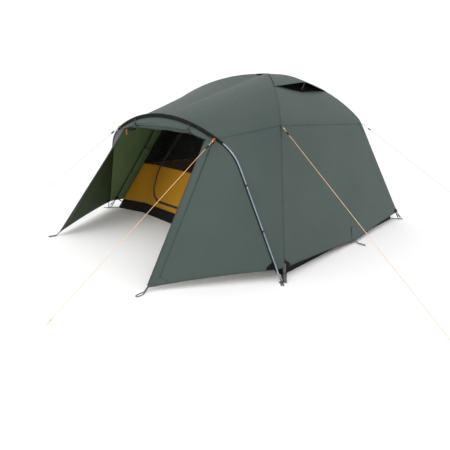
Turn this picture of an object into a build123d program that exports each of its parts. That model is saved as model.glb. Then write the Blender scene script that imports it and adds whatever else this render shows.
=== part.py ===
from build123d import *
import math
import os

# Four-person dome tent, pitched: two crossing main poles, an inner tent hung under them on hooks,
# a flysheet over them and an arch pole outside the flysheet that spreads a front porch.
# Millimetres. Origin: on the ground under the crossing, at the underside of the inner floor.
# +Z up, -Y is the porch end, +X the side with the roof vent.

os.makedirs("parts", exist_ok=True)

# ---- ground plan and pole curves
FOOT_X = 1150.0  # half the distance between the main pole feet, side to side
FOOT_Y = 1080.0  # half the distance between the main pole feet, front to back
POLE_HEIGHT = 1393.0  # centre line of the lower main pole at the crossing
POLE_LEG_ANGLE = 59.5  # of the straight leg, from the ground
POLE_ROOF_ANGLE = 41.5  # of the roof arc at its ends
POLE_BEND_RADIUS = 250.0  # shoulder
POLE_SEGMENTS = 10
ARCH_FOOT_X = 1150.0
ARCH_FOOT_Y = 1115.0  # the arch stands in front of the main pole feet
ARCH_HEIGHT = 1031.0  # in the arch's own leaning plane
ARCH_LEAN = 7.0  # forward
ARCH_LEG_ANGLE = 65.0
ARCH_ROOF_ANGLE = 27.0
ARCH_BEND_RADIUS = 300.0
ARCH_SEGMENTS = 8

# ---- poles
TUBE_RADIUS = 4.75
TUBE_WALL = 0.8
INSERT_LENGTH = 90.0
SLIDE_FIT = 0.05  # radial clearance of what sits inside a tube
JOINT_GAP = 0.2
SHOCK_CORD_RADIUS = 1.3
TIP_PIN_RADIUS = 3.2
TIP_PIN_LENGTH = 18.0
TIP_COLLAR_LENGTH = 9.0
TIP_SHANK_LENGTH = 28.0
POLE_CROSSING_GAP = 1.0

# ---- flysheet
FLY_THICKNESS = 1.2
FLY_OFFSET = 12.0  # main pole centre line to the inside of the flysheet
ARCH_FABRIC_OFFSET = 9.6  # arch pole centre line to the flysheet under it
HEM_HEIGHT = 80.0  # at the pole feet
MID_HEM_HEIGHT = 20.0
GUY_ARCH_X = 600.0  # half distance between the arch guy points
SLEEVE_END_X = 663.0
SLEEVE_RADIUS = 8.2
SLEEVE_WALL = 1.6
PORCH_CORNER = (655.0, -1838.0, 26.0)
DOOR_TOP_X = 520.0
DOOR_TOP_DROP = 16.0
CROWN_HALF = 70.0  # hole where the four roof panels meet, along a pole
CROWN_RADIUS = 88.0
CROWN_STEP = 8.0  # the inner crown patch is this much smaller

# ---- roof vent, on the right side, measured along the pole from the crossing
VENT_EDGE = 612.0
VENT_LIP = 150.0  # fabric below the vent that dips
VENT_DIP = 34.0
VENT_RISE = 58.0
VENT_OVERHANG = 24.0
VENT_BACK = 150.0
HOOD_LIFT = 2.2
STRUT_WIDTH = 14.0
STRUT_THICKNESS = 2.5
STRUT_PIN_RADIUS = 1.5
STRUT_SETBACK = 14.0
STRUT_CLEARANCE = 4.0
HINGE_LIFT = 3.0
HOOD_LAP = 12.0  # of the hood over the crown strip
MESH_INSET = 0.5
STRUT_EYE_FIT = 0.1
EAR_RADIUS = 4.0
EAR_THICKNESS = 2.0
EAR_GAP = 0.4
HINGE_PLATE = 1.0
HINGE_PLATE_GAP = 0.8

# ---- inner tent
INNER_GAP = 70.0  # main pole centre line to the inner tent
INNER_THICKNESS = 1.0
SHEET_TOLERANCE = 0.02
SHEET_ROWS = 18
GORE_ROWS = 14  # of the inner roof
SHEET_COLUMNS = 3
VENT_ROWS = 12
VENT_COLUMNS = 12
FLOOR_THICKNESS = 2.0
BATHTUB_HEIGHT = 100.0
LOWER_WALL_HEIGHT = 500.0
FRONT_SAG = 100.0  # how far the front bottom edge is drawn back
FRONT_FOLD_X = 780.0
HOOK_STATIONS = (120.0, 450.0, 760.0, 1070.0, 1420.0, 1800.0)  # along each pole from its foot

# ---- inner door, in the front wall's own plane: x across, h up the slope from the ground
DOOR_HINGE_X = 470.0
DOOR_SILL = 160.0
DOOR_HEAD = 900.0
DOOR_LOW_X = -690.0
DOOR_WAIST_X = -668.0
DOOR_WAIST = 480.0
DOOR_HEAD_X = -430.0
DOOR_CORNER = 200.0
DOOR_WAIST_RADIUS = 300.0
DOOR_HEAD_CORNER = 150.0
DOOR_ZIP = 8.0  # gap between door and wall
SIDE_SLIDER_START = 110.0
SILL_SLIDER_X = -400.0

# ---- zips, loops and lines
TAPE_WIDTH = 12.0
TAPE_THICKNESS = 1.0
COIL_RADIUS = 2.0
SLIDER_LENGTH = 16.0
SLIDER_CLEARANCE = 0.4
SLIDER_WALL = 1.4
SLIDER_BACK = 6.0
SLIDER_PARK = 22.0
ZIP_EDGE_GAP = 0.3
ZIP_FOOT_GAP = 10.0
ZIP_HEAD_GAP = 4.0
ZIP_HINGE_GAP = 30.0  # from the inner door's hinge line to the ends of its zip
BAIL_LENGTH = 10.0
BAIL_SIZE = 3.0
PULL_LENGTH = 34.0
PULL_WIDTH = 7.0
PULL_THICKNESS = 2.0
PULL_GAP = 5.4
PIPING_RADIUS = 3.8  # round seam cord that the inner door turns on
PIPING_END_GAP = 3.0
HOOK_WALL = 2.6
HOOK_FIT = 0.2
HOOK_STRAP_GAP = 8.0  # between a hook's strap and the inner tent's seam
HOOK_LENGTH = 12.0
HOOK_MOUTH = 2.0  # height of the hook's arms above the pole's centre line
ARCH_CLIP_WALL = 3.4
ARCH_CLIP_HEIGHTS = (330.0, 620.0)
EYELET_RADIUS = 8.0
EYELET_WALL = 2.0
PEG_RADIUS = 6.0
PEG_HOLE_SETBACK = 38.0
CORNER_PAD = 10.0
FOOT_PAD = 16.0
PEG_PAD = 14.0
STRAP_WIDTH = 20.0
STRAP_REACH = 22.0  # of the corner strap beyond the pole's foot
STRAP_LIFT = 0.5
STRAP_TOP_DROP = 1.0
BUCKLE_MARGIN = 8.0
BUCKLE_LENGTH = 30.0
BUCKLE_THICKNESS = 7.0
BUCKLE_FILLET = 2.0
BUCKLE_FIT = 0.4
RING_LENGTH = 64.0
RING_WIDTH = 28.0
RING_BAND = 5.0
RING_SETBACK = 62.0
RING_TIE_INSET = 12.0
RING_TIE_LAP = 4.0
RING_SPLAY = 0.1  # sideways share of the direction of the porch corners' rings
LOOP_LENGTH = 30.0
LOOP_HEIGHT = 12.0
LOOP_WIDTH = 10.0
LOOP_BAND = 1.5
LOOP_LIFT = 3.0
LOOP_REACH = 6.0
SPARE_LOOP_WAY = (0.75, 0.25, -0.6)  # outward, towards its end of the tent, down
KNOT_RADIUS = 3.4
KNOT_INSET = 2.5
GUY_ARCH_RIGHT_PEG = (606.0, -2415.0)
GUY_ARCH_LEFT_PEG = (-780.0, -2400.0)
GUY_SIDE_FRONT_PEG = (2150.0, -1030.0)
GUY_SIDE_REAR_PEG = (2080.0, 1300.0)
GROUND_LOOP_RADIUS = 12.0
TENSIONER_SETBACK = 60.0
TENSIONER_WIDTH = 16.0
TENSIONER_THICKNESS = 9.0
TENSIONER_LENGTH = 34.0
TENSIONER_FILLET = 2.5
TENSIONER_EYE = 4.2  # from its side to its cross hole
LINE_RADIUS = 1.5
LINE_BORE = 1.9
WEBBING = 2.0
ROLL_THICKNESS = 38.0
ROLL_BOTTOM = 915.0  # height of its lower edge
ROLL_HALF = 500.0
ROLL_FLAT = 350.0
ROLL_END_DEPTH = 46.0
ROLL_TOP_GAP = 3.0
BAND_DEPTH = 2.0
BAND_LIFT = 1.5
TOGGLE_RADIUS = 4.0
TOGGLE_LENGTH = 30.0
TOGGLE_X = 340.0
TOGGLE_SEAT = 0.45  # share of the band's height
TOGGLE_NECK_RADIUS = 1.5
TOGGLE_NECK = 1.2

RIGHT, LEFT = 1, -1
FRONT, REAR = -1, 1


class Bow:
    """A bent pole in its own plane: straight legs, a tight bend at each shoulder, one roof arc."""

    def __init__(self, foot, across, up, span, height, leg_angle, roof_angle, bend_radius):
        a, b = math.radians(leg_angle), math.radians(roof_angle)
        run = span - bend_radius * (math.sin(a) - math.sin(b))
        rise = height - bend_radius * (math.cos(b) - math.cos(a))
        det = math.cos(a) * (1 - math.cos(b)) - math.sin(a) * math.sin(b)
        self.leg = (run * (1 - math.cos(b)) - rise * math.sin(b)) / det
        self.roof_radius = (math.cos(a) * rise - math.sin(a) * run) / det
        self.foot, self.across, self.up = Vector(*foot), Vector(*across), Vector(*up)
        self.turn = a
        bend, roof = bend_radius * (a - b), 2 * self.roof_radius * b
        self.pieces = [
            (self.leg, None),
            (bend, bend_radius),
            (roof, self.roof_radius),
            (bend, bend_radius),
            (self.leg, None),
        ]
        self.shoulder = self.leg + bend
        self.length = sum(length for length, _ in self.pieces)
        self.half = self.length / 2

    def state(self, s):
        """Position in the plane and heading at the distance s along the pole."""
        r, h, heading = 0.0, 0.0, self.turn
        for i, (length, radius) in enumerate(self.pieces):
            last = i == len(self.pieces) - 1
            step = s if (s <= length or last) else length
            if radius is None:
                r, h = r + step * math.cos(heading), h + step * math.sin(heading)
            else:
                after = heading - step / radius
                r += radius * (math.sin(heading) - math.sin(after))
                h += radius * (math.cos(after) - math.cos(heading))
                heading = after
            s -= step
            if s <= 1e-9:
                break
        return r, h, heading

    def point(self, s, offset=0.0):
        r, h, heading = self.state(s)
        r, h = r - offset * math.sin(heading), h + offset * math.cos(heading)
        return self.foot + self.across * r + self.up * h

    def tangent(self, s):
        _, _, heading = self.state(s)
        return self.across * math.cos(heading) + self.up * math.sin(heading)

    def edge(self, s0, s1, offset=0.0):
        """One edge between two stations that lie on the same straight or arc."""
        start, middle, end = (self.point(s, offset) for s in (s0, (s0 + s1) / 2, s1))
        bend = (middle - (start + end) * 0.5).length
        if bend < 1e-4:
            return Edge.make_line(start, end)
        return Edge.make_three_point_arc(start, middle, end)

    def breaks(self, s0, s1):
        """The stations where straight runs and arcs meet, between s0 and s1."""
        marks, s = [s0], 0.0
        for length, _ in self.pieces[:-1]:
            s += length
            if s0 + 1e-6 < s < s1 - 1e-6:
                marks.append(s)
        return marks + [s1]

    def path(self, s0, s1, offset=0.0):
        marks = self.breaks(s0, s1)
        return Wire([self.edge(a, b, offset) for a, b in zip(marks, marks[1:])])

    def plane(self, s, offset=0.0):
        return Plane(origin=self.point(s, offset), z_dir=self.tangent(s))

    def station_at_x(self, x, offset=0.0):
        """Distance from the foot, on the first half, where the curve reaches |x|."""
        low, high = 0.0, self.half
        for _ in range(60):
            middle = (low + high) / 2
            if abs(self.point(middle, offset).X) > x:
                low = middle
            else:
                high = middle
        return low

    def station_at_height(self, z, offset=0.0):
        """Distance from the foot along the straight leg to the height z."""
        return (z - self.point(0, offset).Z) / self.tangent(0).Z


DIAGONAL = math.hypot(FOOT_X, FOOT_Y)


def main_bow(side, end, height):
    """The main pole whose first foot is on this side (+1 right) and end (+1 rear)."""
    foot = (side * FOOT_X, end * FOOT_Y, TIP_PIN_RADIUS)
    across = (-side * FOOT_X / DIAGONAL, -end * FOOT_Y / DIAGONAL, 0)
    rise = height - TIP_PIN_RADIUS
    return Bow(foot, across, (0, 0, 1), DIAGONAL, rise, POLE_LEG_ANGLE, POLE_ROOF_ANGLE, POLE_BEND_RADIUS)


def arch_bow(side):
    lean = math.radians(ARCH_LEAN)
    foot = (side * ARCH_FOOT_X, -ARCH_FOOT_Y, TIP_PIN_RADIUS)
    up = (0, -math.sin(lean), math.cos(lean))
    angles = (ARCH_LEG_ANGLE, ARCH_ROOF_ANGLE)
    return Bow(foot, (-side, 0, 0), up, ARCH_FOOT_X, ARCH_HEIGHT, *angles, ARCH_BEND_RADIUS)


UPPER_HEIGHT = POLE_HEIGHT + 2 * TUBE_RADIUS + POLE_CROSSING_GAP
POLE_A = main_bow(RIGHT, FRONT, POLE_HEIGHT)
POLE_B = main_bow(LEFT, FRONT, UPPER_HEIGHT)
ARCH = arch_bow(RIGHT)
FLY_HEIGHT = (POLE_HEIGHT + UPPER_HEIGHT) / 2
RIDGE = {(side, end): main_bow(side, end, FLY_HEIGHT) for side in (RIGHT, LEFT) for end in (FRONT, REAR)}
SHOULDER = RIDGE[RIGHT, FRONT].leg
CREST = RIDGE[RIGHT, FRONT].half
ARCHES = {side: arch_bow(side) for side in (RIGHT, LEFT)}
HEM = RIDGE[RIGHT, FRONT].station_at_height(HEM_HEIGHT, FLY_OFFSET)
ARCH_HEM = ARCH.station_at_height(HEM_HEIGHT, -ARCH_FABRIC_OFFSET)
ARCH_GUY = ARCH.station_at_x(GUY_ARCH_X)


def save(name, *solids):
    """Write one node: one solid, or a group of separate ones."""
    flat = [piece for shape in solids for piece in shape.solids()]
    export_step(flat[0] if len(flat) == 1 else Compound(flat), f"parts/{name}.step")


def fused(pieces):
    """Pieces of one thing that share faces, as one solid."""
    pieces = [piece for shape in pieces for piece in shape.solids()]
    return pieces[0].fuse(*pieces[1:]) if len(pieces) > 1 else pieces[0]


def fly_ridge(side, end, s):
    return RIDGE[side, end].point(s, FLY_OFFSET)


def flat_panel(points, outward, thickness):
    """A flat sheet with these corners, thickened to its outer side."""
    points = [Vector(*p) if isinstance(p, tuple) else p for p in points]
    face = Face(Wire.make_polygon(points, close=True))
    normal = face.normal_at(face.center())
    if normal.dot(Vector(*outward)) < 0:
        normal = normal * -1
    return Solid.extrude(face, normal * thickness)


def bar_between(start, end, width, thickness, across):
    """A flat strap between two points, its width along the direction across."""
    start, end = Vector(*start), Vector(*end)
    along = end - start
    side = Vector(*across)
    side = side - along * (side.dot(along) / along.dot(along))
    plane = Plane(origin=(start + end) * 0.5, x_dir=side, z_dir=along.cross(side))
    return plane * Box(width, along.length, thickness)


def tube(bow, s0, s1, outer, inner=0.0):
    """A round tube, or a rod, along a pole's curve."""
    ring = bow.plane(s0) * Circle(outer)
    path = bow.path(s0, s1)
    solid = Solid.sweep(ring.face(), path)
    if inner:
        core = Solid.sweep((bow.plane(s0) * Circle(inner)).face(), path)
        solid = solid.cut(core)
    return solid


# ---------------------------------------------------------------- poles


def pole_tip(bow, from_far_end=False):
    """End plug: a shank in the tube, a collar and a round-ended pin that stands on the ground."""
    s = bow.length if from_far_end else 0.0
    inward = bow.tangent(s) * (-1 if from_far_end else 1)
    outline = Polyline(
        (0, TIP_PIN_LENGTH + TIP_COLLAR_LENGTH + TIP_SHANK_LENGTH),
        (TUBE_RADIUS - TUBE_WALL - SLIDE_FIT, TIP_PIN_LENGTH + TIP_COLLAR_LENGTH + TIP_SHANK_LENGTH),
        (TUBE_RADIUS - TUBE_WALL - SLIDE_FIT, TIP_PIN_LENGTH + TIP_COLLAR_LENGTH),
        (TUBE_RADIUS, TIP_PIN_LENGTH + TIP_COLLAR_LENGTH),
        (TUBE_RADIUS, TIP_PIN_LENGTH),
        (TIP_PIN_RADIUS, TIP_PIN_LENGTH),
        (TIP_PIN_RADIUS, 0),
    )
    nose = RadiusArc((TIP_PIN_RADIUS, 0), (0, -TIP_PIN_RADIUS), TIP_PIN_RADIUS)
    axis = Line((0, -TIP_PIN_RADIUS), (0, TIP_PIN_LENGTH + TIP_COLLAR_LENGTH + TIP_SHANK_LENGTH))
    profile = Plane.XZ * make_face(Curve() + [outline, nose, axis])
    turned = revolve(profile, Axis.Z)
    return Plane(origin=bow.point(s), z_dir=inward) * turned


def pole_set(bow, segments):
    """The tubes, the inserts that join them, the two tips and the shock cord of one pole."""
    start = TIP_PIN_LENGTH + TIP_COLLAR_LENGTH
    end = bow.length - start
    pitch = (end - start) / segments
    joints = [start + i * pitch for i in range(segments + 1)]
    bore = TUBE_RADIUS - TUBE_WALL
    tubes = []
    for i, (a, b) in enumerate(zip(joints, joints[1:])):
        first = a + JOINT_GAP / 2 if i > 0 else a
        last = b - JOINT_GAP / 2 if i < segments - 1 else b
        tubes.append(tube(bow, first, last, TUBE_RADIUS, bore))
    half = INSERT_LENGTH / 2
    inserts = [tube(bow, s - half, s + half, bore - SLIDE_FIT, bore - 3 * TUBE_WALL) for s in joints[1:-1]]
    tips = [pole_tip(bow), pole_tip(bow, from_far_end=True)]
    inside = start + TIP_SHANK_LENGTH
    cord = tube(bow, inside, bow.length - inside, SHOCK_CORD_RADIUS)
    return tubes, inserts, tips, cord


def build_poles():
    all_tips, cords, all_inserts = [], [], []
    for name, bow, segments in (
        ("main_pole_a", POLE_A, POLE_SEGMENTS),
        ("main_pole_b", POLE_B, POLE_SEGMENTS),
        ("arch_pole", ARCH, ARCH_SEGMENTS),
    ):
        tubes, inserts, tips, cord = pole_set(bow, segments)
        save(f"{name}_segments", *tubes)
        all_inserts += inserts
        all_tips += tips
        cords.append(cord)
    save("pole_inserts", *all_inserts)
    save("pole_tips", *all_tips)
    save("pole_shock_cords", *cords)


# ---------------------------------------------------------------- flysheet


def side_wall(side):
    """Flat side wall between a front leg and a rear leg, from the hem to the shoulder seam."""
    foot, top = fly_ridge(side, FRONT, HEM), fly_ridge(side, FRONT, SHOULDER)
    slope = (top.X - foot.X) / (top.Z - foot.Z)
    mid = Vector(foot.X + slope * (MID_HEM_HEIGHT - foot.Z), 0, MID_HEM_HEIGHT)
    corners = [foot, top, fly_ridge(side, REAR, SHOULDER), fly_ridge(side, REAR, HEM), mid]
    return flat_panel(corners, (side, 0, 0.3), FLY_THICKNESS)


def rear_wall():
    foot, top = fly_ridge(RIGHT, REAR, HEM), fly_ridge(RIGHT, REAR, SHOULDER)
    slope = (top.Y - foot.Y) / (top.Z - foot.Z)
    mid = Vector(0, foot.Y + slope * (MID_HEM_HEIGHT - foot.Z), MID_HEM_HEIGHT)
    corners = [foot, top, fly_ridge(LEFT, REAR, SHOULDER), fly_ridge(LEFT, REAR, HEM), mid]
    return flat_panel(corners, (0, 1, 0.3), FLY_THICKNESS)


def run(bow, s0, s1, offset=0.0):
    """Point function along a pole, from 0 at s0 to 1 at s1."""
    return lambda u: bow.point(s0 + (s1 - s0) * u, offset)


def sheet_between(curve_a, curve_b, push, rows=SHEET_ROWS, columns=SHEET_COLUMNS):
    """A sheet of straight lines from one curve to another, given its thickness by a push."""
    grid = []
    for i in range(rows + 1):
        first, second = curve_a(i / rows), curve_b(i / rows)
        grid.append([first + (second - first) * (j / columns) for j in range(columns + 1)])
    face = Face.make_surface_from_array_of_points(grid, tol=SHEET_TOLERANCE)
    return Solid.extrude(face, Vector(*push))


def roof_gore(first, second, s0, s1, offset=FLY_OFFSET, thickness=FLY_THICKNESS, rows=SHEET_ROWS):
    """Roof sheet between two poles, made of level lines from one to the other."""
    line_a, line_b = run(RIDGE[first], s0, s1, offset), run(RIDGE[second], s0, s1, offset)
    return sheet_between(line_a, line_b, (0, 0, thickness), rows)


def front_roof(side):
    """Half of the front roof, from the main pole's roof arc forward to the arch."""
    arch = ARCHES[side]
    back = run(RIDGE[side, FRONT], SHOULDER, CREST, FLY_OFFSET)
    front = run(arch, ARCH_GUY, arch.half, -ARCH_FABRIC_OFFSET)
    return sheet_between(back, front, (0, 0, FLY_THICKNESS))


def porch_wall(side):
    """Wall between the main pole's leg and the arch's leg."""
    back = run(RIDGE[side, FRONT], HEM, SHOULDER, FLY_OFFSET)
    front = run(ARCHES[side], ARCH_HEM, ARCH_GUY, -ARCH_FABRIC_OFFSET)
    outward = Vector(side, -0.1, 0.4).normalized()
    return sheet_between(back, front, tuple(outward * FLY_THICKNESS))


def door_line(side):
    """Bottom and top of a porch panel's free front edge."""
    x, y, z = PORCH_CORNER
    arch = ARCHES[side]
    top = arch.point(arch.station_at_x(DOOR_TOP_X), -ARCH_FABRIC_OFFSET) - arch.up * DOOR_TOP_DROP
    return Vector(side * x, y, z), top


def porch_push(side):
    return Vector(side * 0.75, -0.6, 0.3).normalized()


def porch_panel(side):
    """Panel from the arch's leg forward to the peg at its corner."""
    bottom, top = door_line(side)
    arch_run = run(ARCHES[side], ARCH_HEM, ARCH_GUY, -ARCH_FABRIC_OFFSET)
    push = tuple(porch_push(side) * FLY_THICKNESS)
    return sheet_between(arch_run, lambda u: bottom + (top - bottom) * u, push)


VENT_S = CREST - VENT_EDGE
LIP_S = VENT_S - VENT_LIP
CROWN_S = CREST - CROWN_HALF
BACK_S = CREST - VENT_BACK
RIGHT_RIDGE = RIDGE[RIGHT, FRONT]


def roof_out(s):
    """Outward direction of the right roof, across its level lines."""
    _, _, heading = RIGHT_RIDGE.state(s)
    return Vector(math.sin(heading) * FOOT_X / DIAGONAL, 0, math.cos(heading)).normalized()


def roof_point(s, v, bump):
    """Point of the right roof: v runs from -1 on the front pole to 1 on the rear one."""
    front, rear = fly_ridge(RIGHT, FRONT, s), fly_ridge(RIGHT, REAR, s)
    share = math.cos(v * math.pi / 2) ** 2
    return (front + rear) * 0.5 + (rear - front) * (v / 2) + roof_out(s) * bump * share


def dip_at(s):
    """How far the middle of the right roof dips below its level lines."""
    share = (s - LIP_S) / VENT_LIP
    if share <= 0:
        return 0.0
    if s <= VENT_S:
        return -VENT_DIP * share * share
    return -VENT_DIP * (BACK_S - s) / (BACK_S - VENT_S)


def rise_at(s):
    return VENT_RISE * max(0.0, BACK_S - s) / (BACK_S - VENT_S)


def vent_sheet(s0, s1, bump_at, lift, thickness, rows):
    """Sheet across the right roof between two stations, bumped up or down in its middle."""
    stops = [2 * j / VENT_COLUMNS - 1 for j in range(VENT_COLUMNS + 1)]
    grid = []
    for i in range(rows + 1):
        s = s0 + (s1 - s0) * i / rows
        grid.append([roof_point(s, v, bump_at(s)) for v in stops])
    face = Face.make_surface_from_array_of_points(grid, tol=SHEET_TOLERANCE)
    return Pos(0, 0, lift) * Solid.extrude(face, Vector(0, 0, thickness))


def build_fly():
    save("fly_side_wall_right", side_wall(RIGHT))
    save("fly_side_wall_left", side_wall(LEFT))
    save("fly_rear_wall", rear_wall())
    save("fly_roof_right", vent_sheet(SHOULDER, VENT_S, dip_at, 0.0, FLY_THICKNESS, SHEET_ROWS))
    save("fly_roof_left", roof_gore((LEFT, FRONT), (LEFT, REAR), SHOULDER, CROWN_S))
    save("fly_roof_rear", roof_gore((RIGHT, REAR), (LEFT, REAR), SHOULDER, CROWN_S))
    save("fly_roof_front", fused([front_roof(RIGHT), front_roof(LEFT)]))
    for side, name in ((RIGHT, "right"), (LEFT, "left")):
        save(f"fly_porch_wall_{name}", porch_wall(side))
        save(f"fly_porch_panel_{name}", porch_panel(side))
    crown_z = fly_ridge(RIGHT, FRONT, CREST).Z + 2 * FLY_THICKNESS + HOOD_LIFT
    strip = roof_gore((RIGHT, FRONT), (RIGHT, REAR), BACK_S, CROWN_S)
    save("fly_crown_patch", Pos(0, 0, crown_z) * Cylinder(CROWN_RADIUS, FLY_THICKNESS), strip)
    sleeve_end = ARCH.station_at_x(SLEEVE_END_X)
    sleeve_start, sleeve_stop = sleeve_end, ARCH.length - sleeve_end
    save("arch_sleeve", tube(ARCH, sleeve_start, sleeve_stop, SLEEVE_RADIUS, SLEEVE_RADIUS - SLEEVE_WALL))


def build_vent():
    """Hood held up by a folding strut over a mesh, at the top of the right roof."""
    hood_start, hood_stop = VENT_S - VENT_OVERHANG, BACK_S + HOOD_LAP
    save("vent_hood", vent_sheet(hood_start, hood_stop, rise_at, HOOD_LIFT, FLY_THICKNESS, VENT_ROWS))
    mesh_start, mesh_stop = VENT_S + MESH_INSET, BACK_S - MESH_INSET
    save("vent_mesh", vent_sheet(mesh_start, mesh_stop, dip_at, 0.0, INNER_THICKNESS, VENT_ROWS))
    s = VENT_S - STRUT_SETBACK
    out = roof_out(s)
    down = Vector(0, 1, 0).cross(out)
    base = roof_point(s, 0, dip_at(s)) + Vector(0, 0, FLY_THICKNESS)
    length = (rise_at(s) - dip_at(s)) - STRUT_CLEARANCE
    pivot = base + out * (STRUT_WIDTH / 2 + HINGE_LIFT)
    blade = Box(length - STRUT_WIDTH, STRUT_WIDTH, STRUT_THICKNESS)
    blade = Pos(X=(length - STRUT_WIDTH) / 2) * blade
    ends = Cylinder(STRUT_WIDTH / 2, STRUT_THICKNESS)
    shape = blade + ends + Pos(X=length - STRUT_WIDTH) * ends
    eye = Cylinder(STRUT_PIN_RADIUS + STRUT_EYE_FIT, 3 * STRUT_THICKNESS)
    frame = Plane(origin=pivot, x_dir=out, z_dir=down)
    save("vent_strut", frame * (shape - eye))
    pin = Cylinder(STRUT_PIN_RADIUS, 2 * STRUT_THICKNESS + EAR_THICKNESS)
    beside = STRUT_THICKNESS + EAR_GAP
    plate_x = -STRUT_WIDTH / 2 - HINGE_PLATE_GAP
    foot = Pos(X=plate_x, Z=beside) * Box(HINGE_PLATE, STRUT_WIDTH, EAR_THICKNESS)
    arm = Pos(X=-EAR_RADIUS) * Box(2 * EAR_RADIUS, 2 * EAR_RADIUS, EAR_THICKNESS)
    ear = Pos(Z=beside) * (Cylinder(EAR_RADIUS, EAR_THICKNESS) + arm)
    save("vent_strut_hinge", frame * (pin + ear + foot))
    print("vent_strut_fold pos", tuple(pivot), "axis", tuple(down))


# ---------------------------------------------------------------- zips and sliders


def zip_strip(start, end, opening, normal):
    """Tape and coil along a straight edge; the coil is on the side of the opening."""
    along = end - start
    plane = Plane(origin=start, x_dir=along, z_dir=normal)
    if plane.y_dir.dot(opening) < 0:
        plane = Plane(origin=end, x_dir=along * -1, z_dir=normal)
    tape = Pos(along.length / 2, TAPE_WIDTH / 2, 0) * Box(along.length, TAPE_WIDTH, TAPE_THICKNESS)
    coil = Pos(along.length / 2, TAPE_WIDTH, 0) * Box(along.length, 2 * COIL_RADIUS, 2 * COIL_RADIUS)
    return plane * (tape + coil), plane


def slider(plane, coil_y, half_height, reach):
    """A C-shaped slider on a coil whose middle is at coil_y in the plane of the zip."""
    inner_y = reach + SLIDER_CLEARANCE
    outer_y = inner_y + SLIDER_WALL
    back_y = -SLIDER_BACK
    body = Pos(0, (outer_y + back_y) / 2, 0) * Box(
        SLIDER_LENGTH, outer_y - back_y, 2 * (half_height + SLIDER_CLEARANCE + SLIDER_WALL)
    )
    slot = Pos(0, (inner_y + back_y) / 2 - 1, 0) * Box(
        SLIDER_LENGTH + 2, inner_y - back_y + 2, 2 * (half_height + SLIDER_CLEARANCE)
    )
    bail_z = half_height + SLIDER_CLEARANCE + SLIDER_WALL + BAIL_SIZE / 2
    bail = Pos(0, 0, bail_z) * Box(BAIL_LENGTH, BAIL_SIZE, BAIL_SIZE)
    return plane * (Pos(Y=coil_y) * (body - slot + bail))


def build_fly_zips():
    strips = []
    for side, name in ((RIGHT, "right"), (LEFT, "left")):
        bottom, top = door_line(side)
        along = (top - bottom).normalized()
        push = porch_push(side)
        opening = Vector(-side, 0, 0)
        normal = along.cross(opening).normalized()
        if normal.dot(push) < 0:
            normal = normal * -1
        start = bottom + along * ZIP_FOOT_GAP + opening * ZIP_EDGE_GAP
        end = top - along * ZIP_HEAD_GAP + opening * ZIP_EDGE_GAP
        strip, plane = zip_strip(start, end, opening, normal)
        strips.append(strip)
        low_first = plane.x_dir.Z > 0
        x = (end - start).length - SLIDER_PARK if low_first else SLIDER_PARK
        body = slider(plane * Pos(X=x), TAPE_WIDTH, COIL_RADIUS, COIL_RADIUS)
        down = -1 if low_first else 1
        height = COIL_RADIUS + SLIDER_CLEARANCE + SLIDER_WALL + BAIL_SIZE / 2
        tab_x = x + down * (PULL_LENGTH / 2 + PULL_GAP)
        tab = Pos(tab_x, TAPE_WIDTH, height) * Box(PULL_LENGTH, PULL_WIDTH, PULL_THICKNESS)
        save(f"fly_zip_slider_{name}", body, plane * tab)
        print(f"fly_zip_{name} axis down", tuple(along * -1), "length", (end - start).length)
    save("fly_door_zips", *strips)


# ---------------------------------------------------------------- inner tent


def inner_corner(side, end, z):
    """Point at height z on the straight corner seam of the inner tent."""
    bow = RIDGE[side, end]
    return bow.point(bow.station_at_height(z, -INNER_GAP), -INNER_GAP)


WALL_TOP = RIGHT_RIDGE.point(SHOULDER, -INNER_GAP).Z
FRONT_TOP = inner_corner(RIGHT, FRONT, WALL_TOP)
FRONT_FOOT_Y = inner_corner(RIGHT, FRONT, 0).Y + FRONT_SAG


def front_fold(side, z):
    """Point at height z on the fold where the drawn-back middle of the front wall begins."""
    low = Vector(side * FRONT_FOLD_X, FRONT_FOOT_Y, 0)
    high = Vector(side * FRONT_TOP.X, FRONT_TOP.Y, FRONT_TOP.Z)
    return low + (high - low) * (z / WALL_TOP)


FRONT_UP = (Vector(0, FRONT_TOP.Y, FRONT_TOP.Z) - Vector(0, FRONT_FOOT_Y, 0)).normalized()
FRONT_NORMAL = Vector(0, -FRONT_UP.Z, FRONT_UP.Y)
FRONT_PLANE = Plane(origin=(0, FRONT_FOOT_Y, 0), x_dir=(1, 0, 0), z_dir=FRONT_NORMAL)


def wall_band(z0, z1):
    """The middle front panel and the five other flat panels of the inner wall between two heights."""
    push = FRONT_NORMAL * INNER_THICKNESS

    def panel(low_a, low_b, outward):
        corners = [low_a(z0), low_b(z0), low_b(z1), low_a(z1)]
        if (corners[2] - corners[3]).length < 1e-6:
            corners = corners[:3]
        return flat_panel(corners, outward, INNER_THICKNESS)

    def corner(side, end):
        return lambda z: inner_corner(side, end, z)

    def fold(side):
        return lambda z: front_fold(side, z)

    around = ((LEFT, z0), (RIGHT, z0), (RIGHT, z1), (LEFT, z1))
    middle = Face(Wire.make_polygon([front_fold(side, z) for side, z in around], close=True))
    others = [
        panel(corner(LEFT, FRONT), fold(LEFT), (-0.2, -1, 0)),
        panel(fold(RIGHT), corner(RIGHT, FRONT), (0.2, -1, 0)),
        panel(corner(RIGHT, FRONT), corner(RIGHT, REAR), (1, 0, 0)),
        panel(corner(RIGHT, REAR), corner(LEFT, REAR), (0, 1, 0)),
        panel(corner(LEFT, REAR), corner(LEFT, FRONT), (-1, 0, 0)),
    ]
    return Solid.extrude(middle, push), others


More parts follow.
